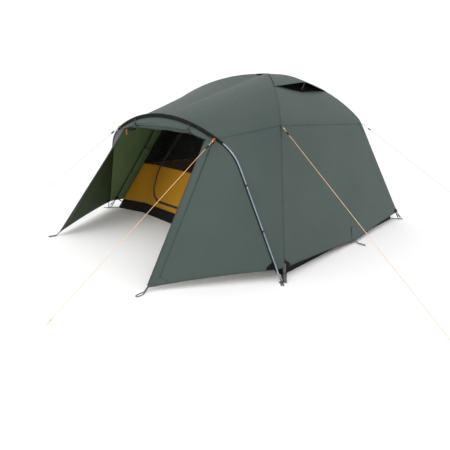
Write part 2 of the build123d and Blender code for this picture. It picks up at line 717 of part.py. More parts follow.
def door_sketch(outset):
    """The door's outline in the front wall's plane, grown outward by outset."""
    corners = [
        (DOOR_HINGE_X + outset, DOOR_SILL - outset),
        (DOOR_LOW_X - outset, DOOR_SILL - outset),
        (DOOR_WAIST_X - outset, DOOR_WAIST),
        (DOOR_HEAD_X - outset, DOOR_HEAD + outset),
        (DOOR_HINGE_X + outset, DOOR_HEAD + outset),
    ]
    outline = make_face(Polyline(*corners, close=True))
    radii = (DOOR_CORNER, DOOR_WAIST_RADIUS, DOOR_HEAD_CORNER)
    for x, radius in zip(corners[1:4], radii):
        target = outline.vertices().sort_by_distance(Vector(x[0], x[1], 0))[0]
        outline = fillet(target, radius + outset)
    return outline


def door_prism(outset, low=-20.0, high=20.0):
    return FRONT_PLANE * (Pos(Z=low) * extrude(door_sketch(outset), high - low))


def slab(z0, z1):
    """Everything between two heights."""
    return Pos(0, 0, (z0 + z1) / 2) * Box(4 * FOOT_X, 4 * FOOT_Y, z1 - z0)


def floor_solid(thickness):
    """The inner tent's ground plan, thickened upward."""
    corners = [inner_corner(RIGHT, FRONT, 0), inner_corner(RIGHT, REAR, 0), inner_corner(LEFT, REAR, 0)]
    corners += [inner_corner(LEFT, FRONT, 0), front_fold(LEFT, 0), front_fold(RIGHT, 0)]
    return Solid.extrude(Face(Wire.make_polygon(corners, close=True)), Vector(0, 0, thickness))


def build_inner():
    save("inner_floor", floor_solid(FLOOR_THICKNESS))
    front, others = wall_band(FLOOR_THICKNESS, BATHTUB_HEIGHT)
    save("inner_bathtub_wall", front, *others)
    hole = door_prism(0)
    front, others = wall_band(BATHTUB_HEIGHT, LOWER_WALL_HEIGHT)
    save("inner_lower_wall", front - hole, *others)
    front, others = wall_band(LOWER_WALL_HEIGHT, WALL_TOP)
    save("inner_mesh_wall", front - hole, *others)
    leaf = door_prism(-DOOR_ZIP, 0, INNER_THICKNESS)
    save("inner_door_lower", leaf & slab(0, LOWER_WALL_HEIGHT))
    save("inner_door_mesh", leaf & slab(LOWER_WALL_HEIGHT, 2 * LOWER_WALL_HEIGHT))
    corners = ((RIGHT, FRONT), (RIGHT, REAR), (LEFT, REAR), (LEFT, FRONT), (RIGHT, FRONT))
    gores = []
    for a, b in zip(corners, corners[1:]):
        gores.append(roof_gore(a, b, SHOULDER, CROWN_S, -INNER_GAP, INNER_THICKNESS, GORE_ROWS))
    save("inner_roof", *gores)
    crown = RIGHT_RIDGE.point(CREST, -INNER_GAP).Z + 2 * INNER_THICKNESS
    save("inner_crown_patch", Pos(0, 0, crown) * Cylinder(CROWN_RADIUS - CROWN_STEP, INNER_THICKNESS))
    piping_x = DOOR_HINGE_X - DOOR_ZIP / 2
    length = DOOR_HEAD - DOOR_SILL - 2 * PIPING_END_GAP
    piping = Rot(X=90) * Cylinder(PIPING_RADIUS, length)
    middle = Pos(piping_x, (DOOR_HEAD + DOOR_SILL) / 2, INNER_THICKNESS / 2)
    save("inner_door_piping", FRONT_PLANE * (middle * piping))
    hinge = FRONT_PLANE.from_local_coords(Vector(piping_x, 0, INNER_THICKNESS / 2))
    print("inner_door pos", tuple(hinge))
    build_inner_zip()


def build_inner_zip():
    """Coils on the wall's and the door's edge, and the two sliders on the wall's coil."""
    keep = Pos(DOOR_HINGE_X - FOOT_X - ZIP_HINGE_GAP) * Box(2 * FOOT_X, 4 * DOOR_HEAD, TAPE_WIDTH)
    wall_ring = extrude(door_sketch(0) - door_sketch(-COIL_RADIUS), 2 * COIL_RADIUS)
    door_ring = extrude(door_sketch(-DOOR_ZIP + COIL_RADIUS) - door_sketch(-DOOR_ZIP), 2 * COIL_RADIUS)
    drop = Pos(Z=INNER_THICKNESS / 2 - COIL_RADIUS)
    save("inner_zip_wall", FRONT_PLANE * (drop * wall_ring & keep))
    save("inner_zip_door", FRONT_PLANE * (drop * door_ring & keep))
    middle = Pos(Z=INNER_THICKNESS / 2)
    waist, head = Vector(DOOR_WAIST_X, DOOR_WAIST), Vector(DOOR_HEAD_X, DOOR_HEAD)
    up = (head - waist).normalized()
    start = waist + up * SIDE_SLIDER_START
    side_plane = Plane(origin=(start.X, start.Y, 0), x_dir=(-up.X, -up.Y, 0), z_dir=(0, 0, 1))
    sill_plane = Plane(origin=(SILL_SLIDER_X, DOOR_SILL, 0), x_dir=(1, 0, 0), z_dir=(0, 0, 1))
    for name, plane in (("side", side_plane), ("sill", sill_plane)):
        body = slider(plane, 0.0, COIL_RADIUS, COIL_RADIUS)
        save(f"inner_zip_slider_{name}", FRONT_PLANE * (middle * body))
    axis = FRONT_PLANE.x_dir * up.X + FRONT_PLANE.y_dir * up.Y
    print("inner side slider axis", tuple(axis), "inner_door axis", tuple(FRONT_UP))


# ---------------------------------------------------------------- hooks, straps and loops


def build_hooks():
    """Plastic hooks on the poles and the short straps that hold the inner tent to them."""
    hooks, straps = [], []
    for bow in (POLE_A, POLE_B):
        for s in [v for station in HOOK_STATIONS for v in (station, bow.length - station)]:
            bore = Cylinder(TUBE_RADIUS + HOOK_FIT, 2 * HOOK_LENGTH)
            ring = Cylinder(TUBE_RADIUS + HOOK_WALL, HOOK_LENGTH) - bore
            mouth = Pos(X=TUBE_RADIUS + HOOK_MOUTH) * Box(2 * TUBE_RADIUS, 4 * TUBE_RADIUS, 2 * HOOK_LENGTH)
            outward = bow.point(s, 1.0) - bow.point(s)
            hooks.append(Plane(origin=bow.point(s), x_dir=outward, z_dir=bow.tangent(s)) * (ring - mouth))
            near, far = bow.point(s, -TUBE_RADIUS - HOOK_WALL), bow.point(s, -INNER_GAP + HOOK_STRAP_GAP)
            straps.append(bar_between(near, far, HOOK_LENGTH, WEBBING / 2, bow.tangent(s)))
    save("inner_hooks", *hooks)
    save("inner_hook_straps", *straps)
    clips = []
    for side in (RIGHT, LEFT):
        arch = ARCHES[side]
        for height in ARCH_CLIP_HEIGHTS:
            s = arch.station_at_height(height)
            ring = Cylinder(TUBE_RADIUS + ARCH_CLIP_WALL, HOOK_LENGTH)
            clips.append(arch.plane(s) * (ring - Cylinder(TUBE_RADIUS + HOOK_FIT, 2 * HOOK_LENGTH)))
    save("arch_clips", *clips)


def ground_strap(side, end):
    """Strap on the ground with an eyelet for each pole foot and a hole for a peg."""
    corner = inner_corner(side, end, 0)
    out = Vector(side * FOOT_X, end * FOOT_Y, 0).normalized()
    feet = [Vector(side * FOOT_X, end * FOOT_Y, 0)]
    if end == FRONT:
        feet.append(Vector(side * ARCH_FOOT_X, -ARCH_FOOT_Y, 0))
    peg = feet[-1] + out * PEG_HOLE_SETBACK
    circles = [Pos(corner.X, corner.Y) * Circle(CORNER_PAD), Pos(peg.X, peg.Y) * Circle(PEG_PAD)]
    circles += [Pos(f.X, f.Y) * Circle(FOOT_PAD) for f in feet]
    hull = make_hull([edge for c in circles for edge in c.edges()])
    plate = extrude(hull, WEBBING)
    for foot in feet:
        plate -= Pos(foot.X, foot.Y) * Cylinder(EYELET_RADIUS, 4 * WEBBING)
    plate -= Pos(peg.X, peg.Y) * Cylinder(PEG_RADIUS, 4 * WEBBING)
    eyelet = Cylinder(EYELET_RADIUS, WEBBING) - Cylinder(EYELET_RADIUS - EYELET_WALL, 2 * WEBBING)
    return plate, [Pos(f.X, f.Y, WEBBING / 2) * eyelet for f in feet]


def corner_strap(side, end):
    """Strap and buckle from the flysheet's corner down to the ground strap."""
    out = Vector(side * FOOT_X, end * FOOT_Y, 0).normalized()
    across = Vector(-out.Y, out.X, 0)
    top = fly_ridge(side, end, HEM) - Vector(0, 0, STRAP_TOP_DROP)
    foot = Vector(side * FOOT_X, end * FOOT_Y, WEBBING + STRAP_LIFT) + out * STRAP_REACH
    strap = bar_between(top, foot, STRAP_WIDTH, WEBBING / 2, across)
    along = (foot - top).normalized()
    plane = Plane(origin=(top + foot) * 0.5, x_dir=across, z_dir=along.cross(across))
    case = Box(STRAP_WIDTH + BUCKLE_MARGIN, BUCKLE_LENGTH, BUCKLE_THICKNESS)
    case = fillet(case.edges().filter_by(Axis.Y), BUCKLE_FILLET)
    buckle = plane * (case - Box(STRAP_WIDTH + BUCKLE_FIT, 2 * BUCKLE_LENGTH, WEBBING / 2 + BUCKLE_FIT))
    return strap, buckle


def flat_ring(centre, along):
    """Webbing ring that lies on the ground for a peg."""
    hole = SlotOverall(RING_LENGTH - 2 * RING_BAND, RING_WIDTH - 2 * RING_BAND)
    ring = extrude(SlotOverall(RING_LENGTH, RING_WIDTH) - hole, WEBBING)
    plane = Plane(origin=centre, x_dir=along, z_dir=(0, 0, 1))
    return plane * ring


def build_straps():
    plates, eyelets, straps, buckles = [], [], [], []
    floor = floor_solid(2 * WEBBING)
    for side in (RIGHT, LEFT):
        for end in (FRONT, REAR):
            plate, rings = ground_strap(side, end)
            plates.append(plate - floor)
            eyelets += rings
            strap, buckle = corner_strap(side, end)
            straps.append(strap)
            buckles.append(buckle)
    save("ground_straps", *plates)
    save("ground_eyelets", *eyelets)
    save("fly_corner_straps", *straps)
    save("fly_corner_buckles", *buckles)
    loops = []
    x, y, z = PORCH_CORNER
    side_mid = side_wall(RIGHT).bounding_box().max.X
    rear_mid = rear_wall().bounding_box().max.Y
    for fabric, out in (
        (Vector(x, y, z), Vector(RING_SPLAY, -1, 0)),
        (Vector(-x, y, z), Vector(-RING_SPLAY, -1, 0)),
        (Vector(side_mid, 0, MID_HEM_HEIGHT), Vector(1, 0, 0)),
        (Vector(-side_mid, 0, MID_HEM_HEIGHT), Vector(-1, 0, 0)),
        (Vector(0, rear_mid, MID_HEM_HEIGHT), Vector(0, 1, 0)),
    ):
        out = out.normalized()
        ground = Vector(fabric.X, fabric.Y, 0) + out * RING_SETBACK
        near = Vector(ground.X, ground.Y, WEBBING) - out * (RING_LENGTH / 2 - RING_TIE_LAP)
        across = Vector(-out.Y, out.X, 0)
        tie = bar_between(fabric + out, near, RING_WIDTH - RING_TIE_INSET, WEBBING / 2, across)
        loops.append(fused([flat_ring(ground, out), tie]))
        print("peg ring", tuple(ground))
    save("peg_rings", *loops)


# ---------------------------------------------------------------- guy lines


def guys():
    """Name, tent end and ground end of each line."""
    reach = Vector(0, -1, 0) * (SLEEVE_RADIUS + WEBBING)
    arch_right = ARCHES[RIGHT].point(ARCH_GUY) + reach
    arch_left = ARCHES[LEFT].point(ARCH_GUY) + reach
    front = fly_ridge(RIGHT, FRONT, SHOULDER) + Vector(LOOP_REACH, 0, LOOP_LIFT)
    rear = fly_ridge(RIGHT, REAR, SHOULDER) + Vector(LOOP_REACH, 0, LOOP_LIFT)
    return (
        ("arch_right", arch_right, Vector(*GUY_ARCH_RIGHT_PEG)),
        ("arch_left", arch_left, Vector(*GUY_ARCH_LEFT_PEG)),
        ("side_front", front, Vector(*GUY_SIDE_FRONT_PEG)),
        ("side_rear", rear, Vector(*GUY_SIDE_REAR_PEG)),
    )


def guy_loop(start, along):
    """Short webbing loop sewn to the flysheet, with a hole in its end for the line."""
    across = Vector(0, 0, 1).cross(along).normalized()
    plane = Plane(origin=start + along * (LOOP_LENGTH / 2), x_dir=along, z_dir=across)
    outer = SlotOverall(LOOP_LENGTH, LOOP_HEIGHT)
    inner = SlotOverall(LOOP_LENGTH - 2 * LOOP_BAND, LOOP_HEIGHT - 2 * LOOP_BAND)
    band = Pos(Z=-LOOP_WIDTH / 2) * extrude(outer - inner, LOOP_WIDTH)
    hole = Pos(X=LOOP_LENGTH / 2) * (Rot(Y=90) * Cylinder(LINE_BORE, LOOP_HEIGHT))
    return plane * (band - hole)


def build_lines():
    loops = []
    for name, start, ground in guys():
        along = (Vector(ground.X, ground.Y, GROUND_LOOP_RADIUS + LINE_RADIUS) - start).normalized()
        loops.append(guy_loop(start, along))
        knot_at = start + along * (LOOP_LENGTH - KNOT_RADIUS - KNOT_INSET)
        end = Vector(ground.X, ground.Y, GROUND_LOOP_RADIUS + LINE_RADIUS)
        across = Vector(0, 0, 1).cross(along).normalized()
        plane = Plane(origin=knot_at, x_dir=across, z_dir=along)
        line_length = (end - knot_at).length - GROUND_LOOP_RADIUS
        line = plane * (Pos(Z=line_length / 2) * Cylinder(LINE_RADIUS, line_length))
        knot = plane * Sphere(KNOT_RADIUS)
        ring = Plane(origin=end, x_dir=along, z_dir=across) * Torus(GROUND_LOOP_RADIUS, LINE_RADIUS)
        save(f"guy_line_{name}", fused([line, knot, ring]))
        at = start + along * (LOOP_LENGTH + TENSIONER_SETBACK)
        frame = Plane(origin=at, x_dir=across, z_dir=along)
        case = Box(TENSIONER_WIDTH, TENSIONER_THICKNESS, TENSIONER_LENGTH)
        case = fillet(case.edges(), TENSIONER_FILLET) - Cylinder(LINE_BORE, 2 * TENSIONER_LENGTH)
        eye = Rot(X=90) * Cylinder(LINE_BORE, 4 * TENSIONER_THICKNESS)
        case -= Pos(X=TENSIONER_WIDTH / 2 - TENSIONER_EYE) * eye
        save(f"tensioner_{name}", frame * case)
        print(f"guy {name} start", tuple(knot_at), "end", tuple(end), "length", line_length)
    for side, end in ((LEFT, FRONT), (LEFT, REAR)):
        start = fly_ridge(side, end, SHOULDER) + Vector(side * LOOP_REACH, 0, LOOP_LIFT)
        out, aside, drop = SPARE_LOOP_WAY
        loops.append(guy_loop(start, Vector(side * out, end * aside, drop).normalized()))
    save("guy_loops", *loops)


# ---------------------------------------------------------------- rolled porch door


def build_door_roll():
    """The porch door rolled up under the arch and its two toggles on their elastic loops."""
    s0 = ARCH.station_at_x(ROLL_HALF)
    s1 = ARCH.length - s0
    top_offset = -(ARCH_FABRIC_OFFSET + ROLL_TOP_GAP)
    a, b = ARCH.point(s0, top_offset), ARCH.point(s1, top_offset)
    low = ARCH.up * ROLL_END_DEPTH
    p, q = a - low, b - low

    def on_plane(x, z):
        share = (z - ARCH.foot.Z) / ARCH.up.Z
        return Vector(x, ARCH.foot.Y + ARCH.up.Y * share, z)

    corner_r, corner_l = on_plane(ROLL_FLAT, ROLL_BOTTOM), on_plane(-ROLL_FLAT, ROLL_BOTTOM)
    edges = [ARCH.edge(s0, s1, top_offset)]
    points = [b, q, corner_l, corner_r, p, a]
    edges += [Edge.make_line(u, v) for u, v in zip(points, points[1:])]
    face = Face(Wire(edges))
    normal = ARCH.across.cross(ARCH.up)
    if normal.Y > 0:
        normal = normal * -1
    body = Solid.extrude(face.moved(Location(normal * (-ROLL_THICKNESS / 2))), normal * ROLL_THICKNESS)
    save("fly_door_roll", body)
    bands = []
    for side, name in ((RIGHT, "right"), (LEFT, "left")):
        bottom = on_plane(side * TOGGLE_X, ROLL_BOTTOM)
        height = ARCH.point(ARCH.station_at_x(TOGGLE_X), top_offset).Z - ROLL_BOTTOM
        plane = Plane(origin=bottom + ARCH.up * (height / 2), x_dir=(1, 0, 0), z_dir=normal)
        outer = Box(LOOP_WIDTH, height + 4 * BAND_DEPTH, ROLL_THICKNESS + 2 * BAND_DEPTH)
        inner = Pos(Y=2 * BAND_LIFT) * Box(2 * LOOP_WIDTH, height + 5 * BAND_DEPTH, ROLL_THICKNESS + 1)
        bands.append(plane * (outer - inner))
        lift = ROLL_THICKNESS / 2 + BAND_DEPTH + TOGGLE_RADIUS + TOGGLE_NECK / 3
        seat = bottom + ARCH.up * (height * TOGGLE_SEAT) + normal * lift
        bar = Rot(Y=90) * Cylinder(TOGGLE_RADIUS, TOGGLE_LENGTH)
        neck = Pos(Z=TOGGLE_NECK / 4 - TOGGLE_RADIUS) * Cylinder(TOGGLE_NECK_RADIUS, TOGGLE_NECK)
        frame = Plane(origin=seat, x_dir=(1, 0, 0), z_dir=normal)
        save(f"toggle_{name}", frame * (bar + neck))
        print(f"toggle {name} pos", tuple(seat), "axis", tuple(normal))
    save("toggle_loops", *bands)


build_poles()
build_fly()
build_vent()
build_fly_zips()
build_inner()
build_hooks()
build_straps()
build_lines()
build_door_roll()
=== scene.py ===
import logging
import math
from dataclasses import dataclass
from enum import Enum
from typing import Callable

import bmesh
import bpy
import numpy as np
from mathutils import Matrix, Vector, noise


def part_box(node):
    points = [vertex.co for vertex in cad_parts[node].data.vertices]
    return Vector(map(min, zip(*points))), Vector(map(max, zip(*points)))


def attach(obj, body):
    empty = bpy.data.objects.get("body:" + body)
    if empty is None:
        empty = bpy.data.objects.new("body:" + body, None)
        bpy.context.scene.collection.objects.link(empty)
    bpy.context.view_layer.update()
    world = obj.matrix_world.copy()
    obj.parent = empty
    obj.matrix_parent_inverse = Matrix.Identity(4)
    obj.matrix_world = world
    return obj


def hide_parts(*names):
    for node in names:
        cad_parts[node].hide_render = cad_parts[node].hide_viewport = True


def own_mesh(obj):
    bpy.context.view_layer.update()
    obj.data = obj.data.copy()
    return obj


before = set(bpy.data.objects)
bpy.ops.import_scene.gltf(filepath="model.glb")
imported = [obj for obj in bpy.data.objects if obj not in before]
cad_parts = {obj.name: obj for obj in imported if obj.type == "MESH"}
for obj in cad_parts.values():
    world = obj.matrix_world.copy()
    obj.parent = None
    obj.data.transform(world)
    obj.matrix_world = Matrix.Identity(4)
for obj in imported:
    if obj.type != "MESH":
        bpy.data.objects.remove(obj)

logging.basicConfig(level=logging.INFO, format="%(message)s")
log = logging.getLogger("tent")

Surface = Callable[[float, float], Vector]
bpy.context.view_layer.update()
BODY = "tent"
RIGHT, LEFT = 1, -1
FRONT, REAR = -1, 1


# ------------------------------------------------------------------ small helpers


def smooth(t: float) -> float:
    """Ease from 0 to 1 without a corner at either end."""
    t = min(1.0, max(0.0, t))
    return t * t * (3 - 2 * t)


def mix(a, b, t: float):
    """The number or vector t of the way from a to b."""
    return a + (b - a) * t


def turns(count: int) -> list:
    """Angles evenly round a circle, in radians."""
    return [2 * math.pi * i / count for i in range(count)]


def linear(hex_colour: str) -> tuple:
    """Linear colour for a shader socket.

    Args:
        hex_colour: sRGB, such as "#5C6661".

    Returns:
        Red, green, blue and 1.
    """
    channels = [int(hex_colour[i : i + 2], 16) / 255 for i in (1, 3, 5)]
    return (*[c / 12.92 if c <= 0.04045 else ((c + 0.055) / 1.055) ** 2.4 for c in channels], 1.0)


# ------------------------------------------------------------------ finishes


class Graph:
    """Adds and links the nodes of one material."""

    def __init__(self, name: str):
        self.material = bpy.data.materials.new(name)
        self.material.use_nodes = True
        self.tree = self.material.node_tree
        self.tree.nodes.clear()

    def add(self, kind: str, inputs: dict | None = None, **settings):
        """One node; inputs are plain values or sockets to link from."""
        node = self.tree.nodes.new(f"ShaderNode{kind}")
        for key, value in settings.items():
            setattr(node, key, value)
        for key, value in (inputs or {}).items():
            socket = node.inputs[key]
            if isinstance(value, bpy.types.NodeSocket):
                self.tree.links.new(value, socket)
            else:
                socket.default_value = value
        return node

    def math(self, operation: str, *values) -> bpy.types.NodeSocket:
        """Result of one Math node."""
        return self.add("Math", dict(enumerate(values)), operation=operation).outputs[0]

    def ramp(
        self, value, low: float, high: float, start: float = 0.0, end: float = 1.0
    ) -> bpy.types.NodeSocket:
        """Value eased from start to end as it goes from low to high."""
        keys = {"Value": value, "From Min": low, "From Max": high, "To Min": start, "To Max": end}
        return self.add("MapRange", keys, clamp=True).outputs["Result"]

    def noise(self, coordinates, scale: float, detail: float = 3.0, roughness: float = 0.5):
        """Fractal noise; scale is in features per metre."""
        keys = {"Vector": coordinates, "Scale": scale, "Detail": detail, "Roughness": roughness}
        return self.add("TexNoise", keys).outputs["Fac"]

    def colour(self, factor, first, second) -> bpy.types.NodeSocket:
        """First colour turned to second by factor."""
        node = self.add("Mix", data_type="RGBA")
        for socket, value in ((node.inputs[0], factor), (node.inputs[6], first), (node.inputs[7], second)):
            if isinstance(value, bpy.types.NodeSocket):
                self.tree.links.new(value, socket)
            else:
                socket.default_value = value
        return node.outputs[2]

    def bump(self, height, distance: float, strength: float = 1.0, normal=None):
        """A normal raised by height; distance is the real height in metres."""
        keys = {"Height": height, "Distance": distance, "Strength": strength}
        if normal is not None:
            keys["Normal"] = normal
        return self.add("Bump", keys).outputs["Normal"]

    def waves(self, coordinates, period: float, axis: str):
        """Sine bands along X or Y with a real period in metres."""
        keys = {"Vector": coordinates, "Scale": 2 * math.pi / (20 * period)}
        return self.add("TexWave", keys, wave_type="BANDS", bands_direction=axis).outputs["Fac"]

    def finish(self, surface: bpy.types.NodeSocket) -> bpy.types.Material:
        """Link the shader to the output and hand over the material."""
        out = self.add("OutputMaterial")
        self.tree.links.new(surface, out.inputs["Surface"])
        return self.material


@dataclass(frozen=True)
class Cloth:
    """Coated plain-weave polyester: matt, slightly creased from its bag, double-stitched along its seams.

    Args:
        weave: thread spacing in metres, drawn twice as coarse as real so that it shows.
        seam: width of the sewn band along an edge.
    """

    name: str
    colour: str
    shade: str
    thread: str = "#2A2E2B"
    roughness: float = 0.55
    weave: float = 0.0006
    seam: float = 0.012
    sheen: float = 0.03
    specular: float = 0.12

    def build(self) -> bpy.types.Material:
        """Make the material's nodes."""
        g = Graph(self.name)
        cloth = g.add("UVMap", uv_map="cloth").outputs[0]
        place = g.add("TexCoord").outputs["Object"]
        edge = g.add("Attribute", attribute_name="seam").outputs["Fac"]
        broad = g.noise(place, 2.2, 2)
        fine = g.noise(place, 42.0, 4, 0.6)
        dust = g.noise(place, 380.0, 2)
        tone = g.colour(g.ramp(broad, 0.3, 0.7), linear(self.colour), linear(self.shade))
        tone = g.colour(g.ramp(fine, 0.35, 0.75, 0.0, 0.16), tone, linear(self.shade))
        tone = g.colour(g.ramp(dust, 0.6, 0.8, 0.0, 0.06), tone, linear("#8C938E"))
        warp, weft = g.waves(cloth, self.weave, "X"), g.waves(cloth, self.weave, "Y")
        weave = g.math("MULTIPLY", warp, weft)
        band = g.ramp(edge, self.seam - 0.0012, self.seam, 1.0, 0.0)
        run = g.math("ADD", *[g.add("SeparateXYZ", {0: cloth}).outputs[k] for k in ("X", "Y")])
        dash = g.math("GREATER_THAN", g.math("FRACT", g.math("DIVIDE", run, 0.0036)), 0.32)
        rows = [g.math("COMPARE", edge, self.seam * share, 0.00045) for share in (0.2, 0.82)]
        stitch = g.math("MULTIPLY", g.math("MAXIMUM", *rows), dash)
        line = g.ramp(edge, 0.0, 0.0035, 1.0, 0.0)
        tone = g.colour(g.math("MULTIPLY", band, 0.22), tone, linear(self.shade))
        tone = g.colour(g.math("MULTIPLY", line, 0.5), tone, linear(self.thread))
        tone = g.colour(g.math("MULTIPLY", stitch, 0.7), tone, linear(self.thread))
        pucker = g.math("MULTIPLY", g.waves(cloth, 0.011, "X"), g.ramp(edge, 0.0, 0.03, 1.0, 0.0))
        cells = g.add("TexVoronoi", {"Vector": place, "Scale": 4.2}, feature="DISTANCE_TO_EDGE")
        crease = g.ramp(cells.outputs["Distance"], 0.0, 0.035, 1.0, 0.0)
        slack = g.noise(place, 5.5, 3, 0.45)
        normal = g.bump(slack, 0.012, 0.35)
        normal = g.bump(fine, 0.0016, 0.35, normal)
        normal = g.bump(crease, 0.0006, 0.5, normal)
        normal = g.bump(pucker, 0.0008, 0.5, normal)
        normal = g.bump(g.math("ADD", band, g.math("MULTIPLY", stitch, -0.6)), 0.0009, 0.8, normal)
        normal = g.bump(weave, 0.00012, 0.35, normal)
        rough = g.ramp(fine, 0.2, 0.8, self.roughness - 0.06, self.roughness + 0.08)
        keys = {"Base Color": tone, "Roughness": rough, "Normal": normal, "Specular IOR Level": self.specular}
        keys.update({"Sheen Weight": self.sheen, "Sheen Roughness": 0.5, "Sheen Tint": linear("#AEB6B1")})
        surface = g.add("BsdfPrincipled", keys)
        return g.finish(surface.outputs[0])


@dataclass(frozen=True)
class Net:
    """Knitted insect netting: dark threads with open cells, drawn 1.6 mm wide so that they show.

    Args:
        cell: thread spacing in metres.
        cover: share of the wave that is thread.
    """

    name: str
    colour: str
    cell: float = 0.0016
    cover: float = 0.2

    def build(self) -> bpy.types.Material:
        """Make the material's nodes."""
        g = Graph(self.name)
        cloth = g.add("UVMap", uv_map="cloth").outputs[0]
        place = g.add("TexCoord").outputs["Object"]
        edge = g.add("Attribute", attribute_name="seam").outputs["Fac"]
        warp, weft = g.waves(cloth, self.cell, "X"), g.waves(cloth, self.cell, "Y")
        threads = g.math("MAXIMUM", warp, weft)
        low = 1.0 - self.cover
        solid = g.ramp(threads, low, low + 0.12)
        patch = g.noise(place, 9.0, 3)
        tone = g.colour(g.ramp(patch, 0.3, 0.7), linear(self.colour), linear("#232320"))
        hem = g.ramp(edge, 0.010, 0.012, 1.0, 0.0)
        keys = {"Base Color": tone, "Roughness": g.ramp(patch, 0.3, 0.7, 0.75, 0.9)}
        keys["Normal"] = g.bump(threads, 0.0003, 0.6)
        keys["Alpha"] = g.math("MAXIMUM", solid, hem)
        keys["Specular IOR Level"] = 0.2
        return g.finish(g.add("BsdfPrincipled", keys).outputs[0])


@dataclass(frozen=True)
class Webbing:
    """Woven nylon tape: ribs across it with a painted highlight along each, slightly furred."""

    name: str
    colour: str
    light: str

    def build(self) -> bpy.types.Material:
        """Make the material's nodes."""
        g = Graph(self.name)
        cloth = g.add("UVMap", uv_map="cloth").outputs[0]
        place = g.add("TexCoord").outputs["Object"]
        ribs = g.waves(cloth, 0.0016, "Y")
        threads = g.waves(cloth, 0.0009, "X")
        height = g.math("ADD", ribs, g.math("MULTIPLY", threads, 0.5))
        worn = g.noise(place, 160.0, 4)
        tone = g.colour(g.ramp(worn, 0.35, 0.75), linear(self.colour), linear(self.light))
        # Painted highlight: the ribs' crests are drawn paler.
        tone = g.colour(g.math("MULTIPLY", ribs, 0.35), tone, linear(self.light))
        keys = {"Base Color": tone, "Roughness": g.ramp(worn, 0.3, 0.7, 0.7, 0.9)}
        keys["Normal"] = g.bump(height, 0.0004, 0.9)
        keys.update({"Sheen Weight": 0.04, "Specular IOR Level": 0.2})
        return g.finish(g.add("BsdfPrincipled", keys).outputs[0])


@dataclass(frozen=True)
class Moulded:
    """Injection-moulded acetal: a fine spark-eroded grain, paler where it rubs."""

    name: str
    colour: str
    light: str
    roughness: float = 0.45

    def build(self) -> bpy.types.Material:
        """Make the material's nodes."""
        g = Graph(self.name)
        place = g.add("TexCoord").outputs["Object"]
        grain = g.noise(place, 1900.0, 2)
        rubbed = g.noise(place, 90.0, 5, 0.65)
        tone = g.colour(g.ramp(rubbed, 0.45, 0.75, 0.0, 0.6), linear(self.colour), linear(self.light))
        keys = {"Base Color": tone}
        keys["Roughness"] = g.ramp(rubbed, 0.3, 0.7, self.roughness - 0.08, self.roughness + 0.12)
        keys["Normal"] = g.bump(grain, 0.00008, 0.7)
        return g.finish(g.add("BsdfPrincipled", keys).outputs[0])


@dataclass(frozen=True)
class Alloy:
    """Drawn and anodised aluminium, or tumbled zinc: fine lines along it and faint stains."""

    name: str
    colour: str
    shade: str
    roughness: float = 0.3

    def build(self) -> bpy.types.Material:
        """Make the material's nodes."""
        g = Graph(self.name)
        place = g.add("TexCoord").outputs["Object"]
        drawn = g.noise(g.add("Mapping", {"Vector": place, "Scale": (1, 1, 0.15)}).outputs[0], 900.0, 3)
        stain = g.noise(place, 14.0, 4)
        tone = g.colour(g.ramp(stain, 0.3, 0.75), linear(self.colour), linear(self.shade))
        keys = {"Base Color": tone, "Metallic": 1.0, "Normal": g.bump(drawn, 0.00005, 0.5)}
        keys["Roughness"] = g.ramp(drawn, 0.2, 0.8, self.roughness - 0.07, self.roughness + 0.12)
        return g.finish(g.add("BsdfPrincipled", keys).outputs[0])


@dataclass(frozen=True)
class Braid:
    """Braided polyester cord: two sets of strands crossing at 45 degrees, with a paler fleck."""

    name: str
    colour: str
    fleck: str

    def build(self) -> bpy.types.Material:
        """Make the material's nodes."""
        g = Graph(self.name)
        cloth = g.add("UVMap", uv_map="cloth").outputs[0]
        place = g.add("TexCoord").outputs["Object"]
        turned = g.add("Mapping", {"Vector": cloth, "Rotation": (0, 0, math.radians(45))}).outputs[0]
        strands = g.math("MULTIPLY", g.waves(turned, 0.0014, "X"), g.waves(turned, 0.0014, "Y"))
        soil = g.noise(place, 60.0, 4)
        tone = g.colour(g.math("MULTIPLY", strands, 0.45), linear(self.colour), linear(self.fleck))
        tone = g.colour(g.ramp(soil, 0.5, 0.8, 0.0, 0.3), tone, linear(self.fleck))
        keys = {"Base Color": tone, "Roughness": g.ramp(soil, 0.3, 0.7, 0.6, 0.8)}
        keys["Normal"] = g.bump(strands, 0.0004, 0.9)
        keys.update({"Sheen Weight": 0.05, "Specular IOR Level": 0.2})
        return g.finish(g.add("BsdfPrincipled", keys).outputs[0])


@dataclass(frozen=True)
class Backdrop:
    """Pale studio surface."""

    name: str
    colour: str

    def build(self) -> bpy.types.Material:
        """Make the material's nodes."""
        g = Graph(self.name)
        keys = {"Base Color": linear(self.colour), "Roughness": 0.9, "Specular IOR Level": 0.1}
        return g.finish(g.add("BsdfPrincipled", keys).outputs[0])


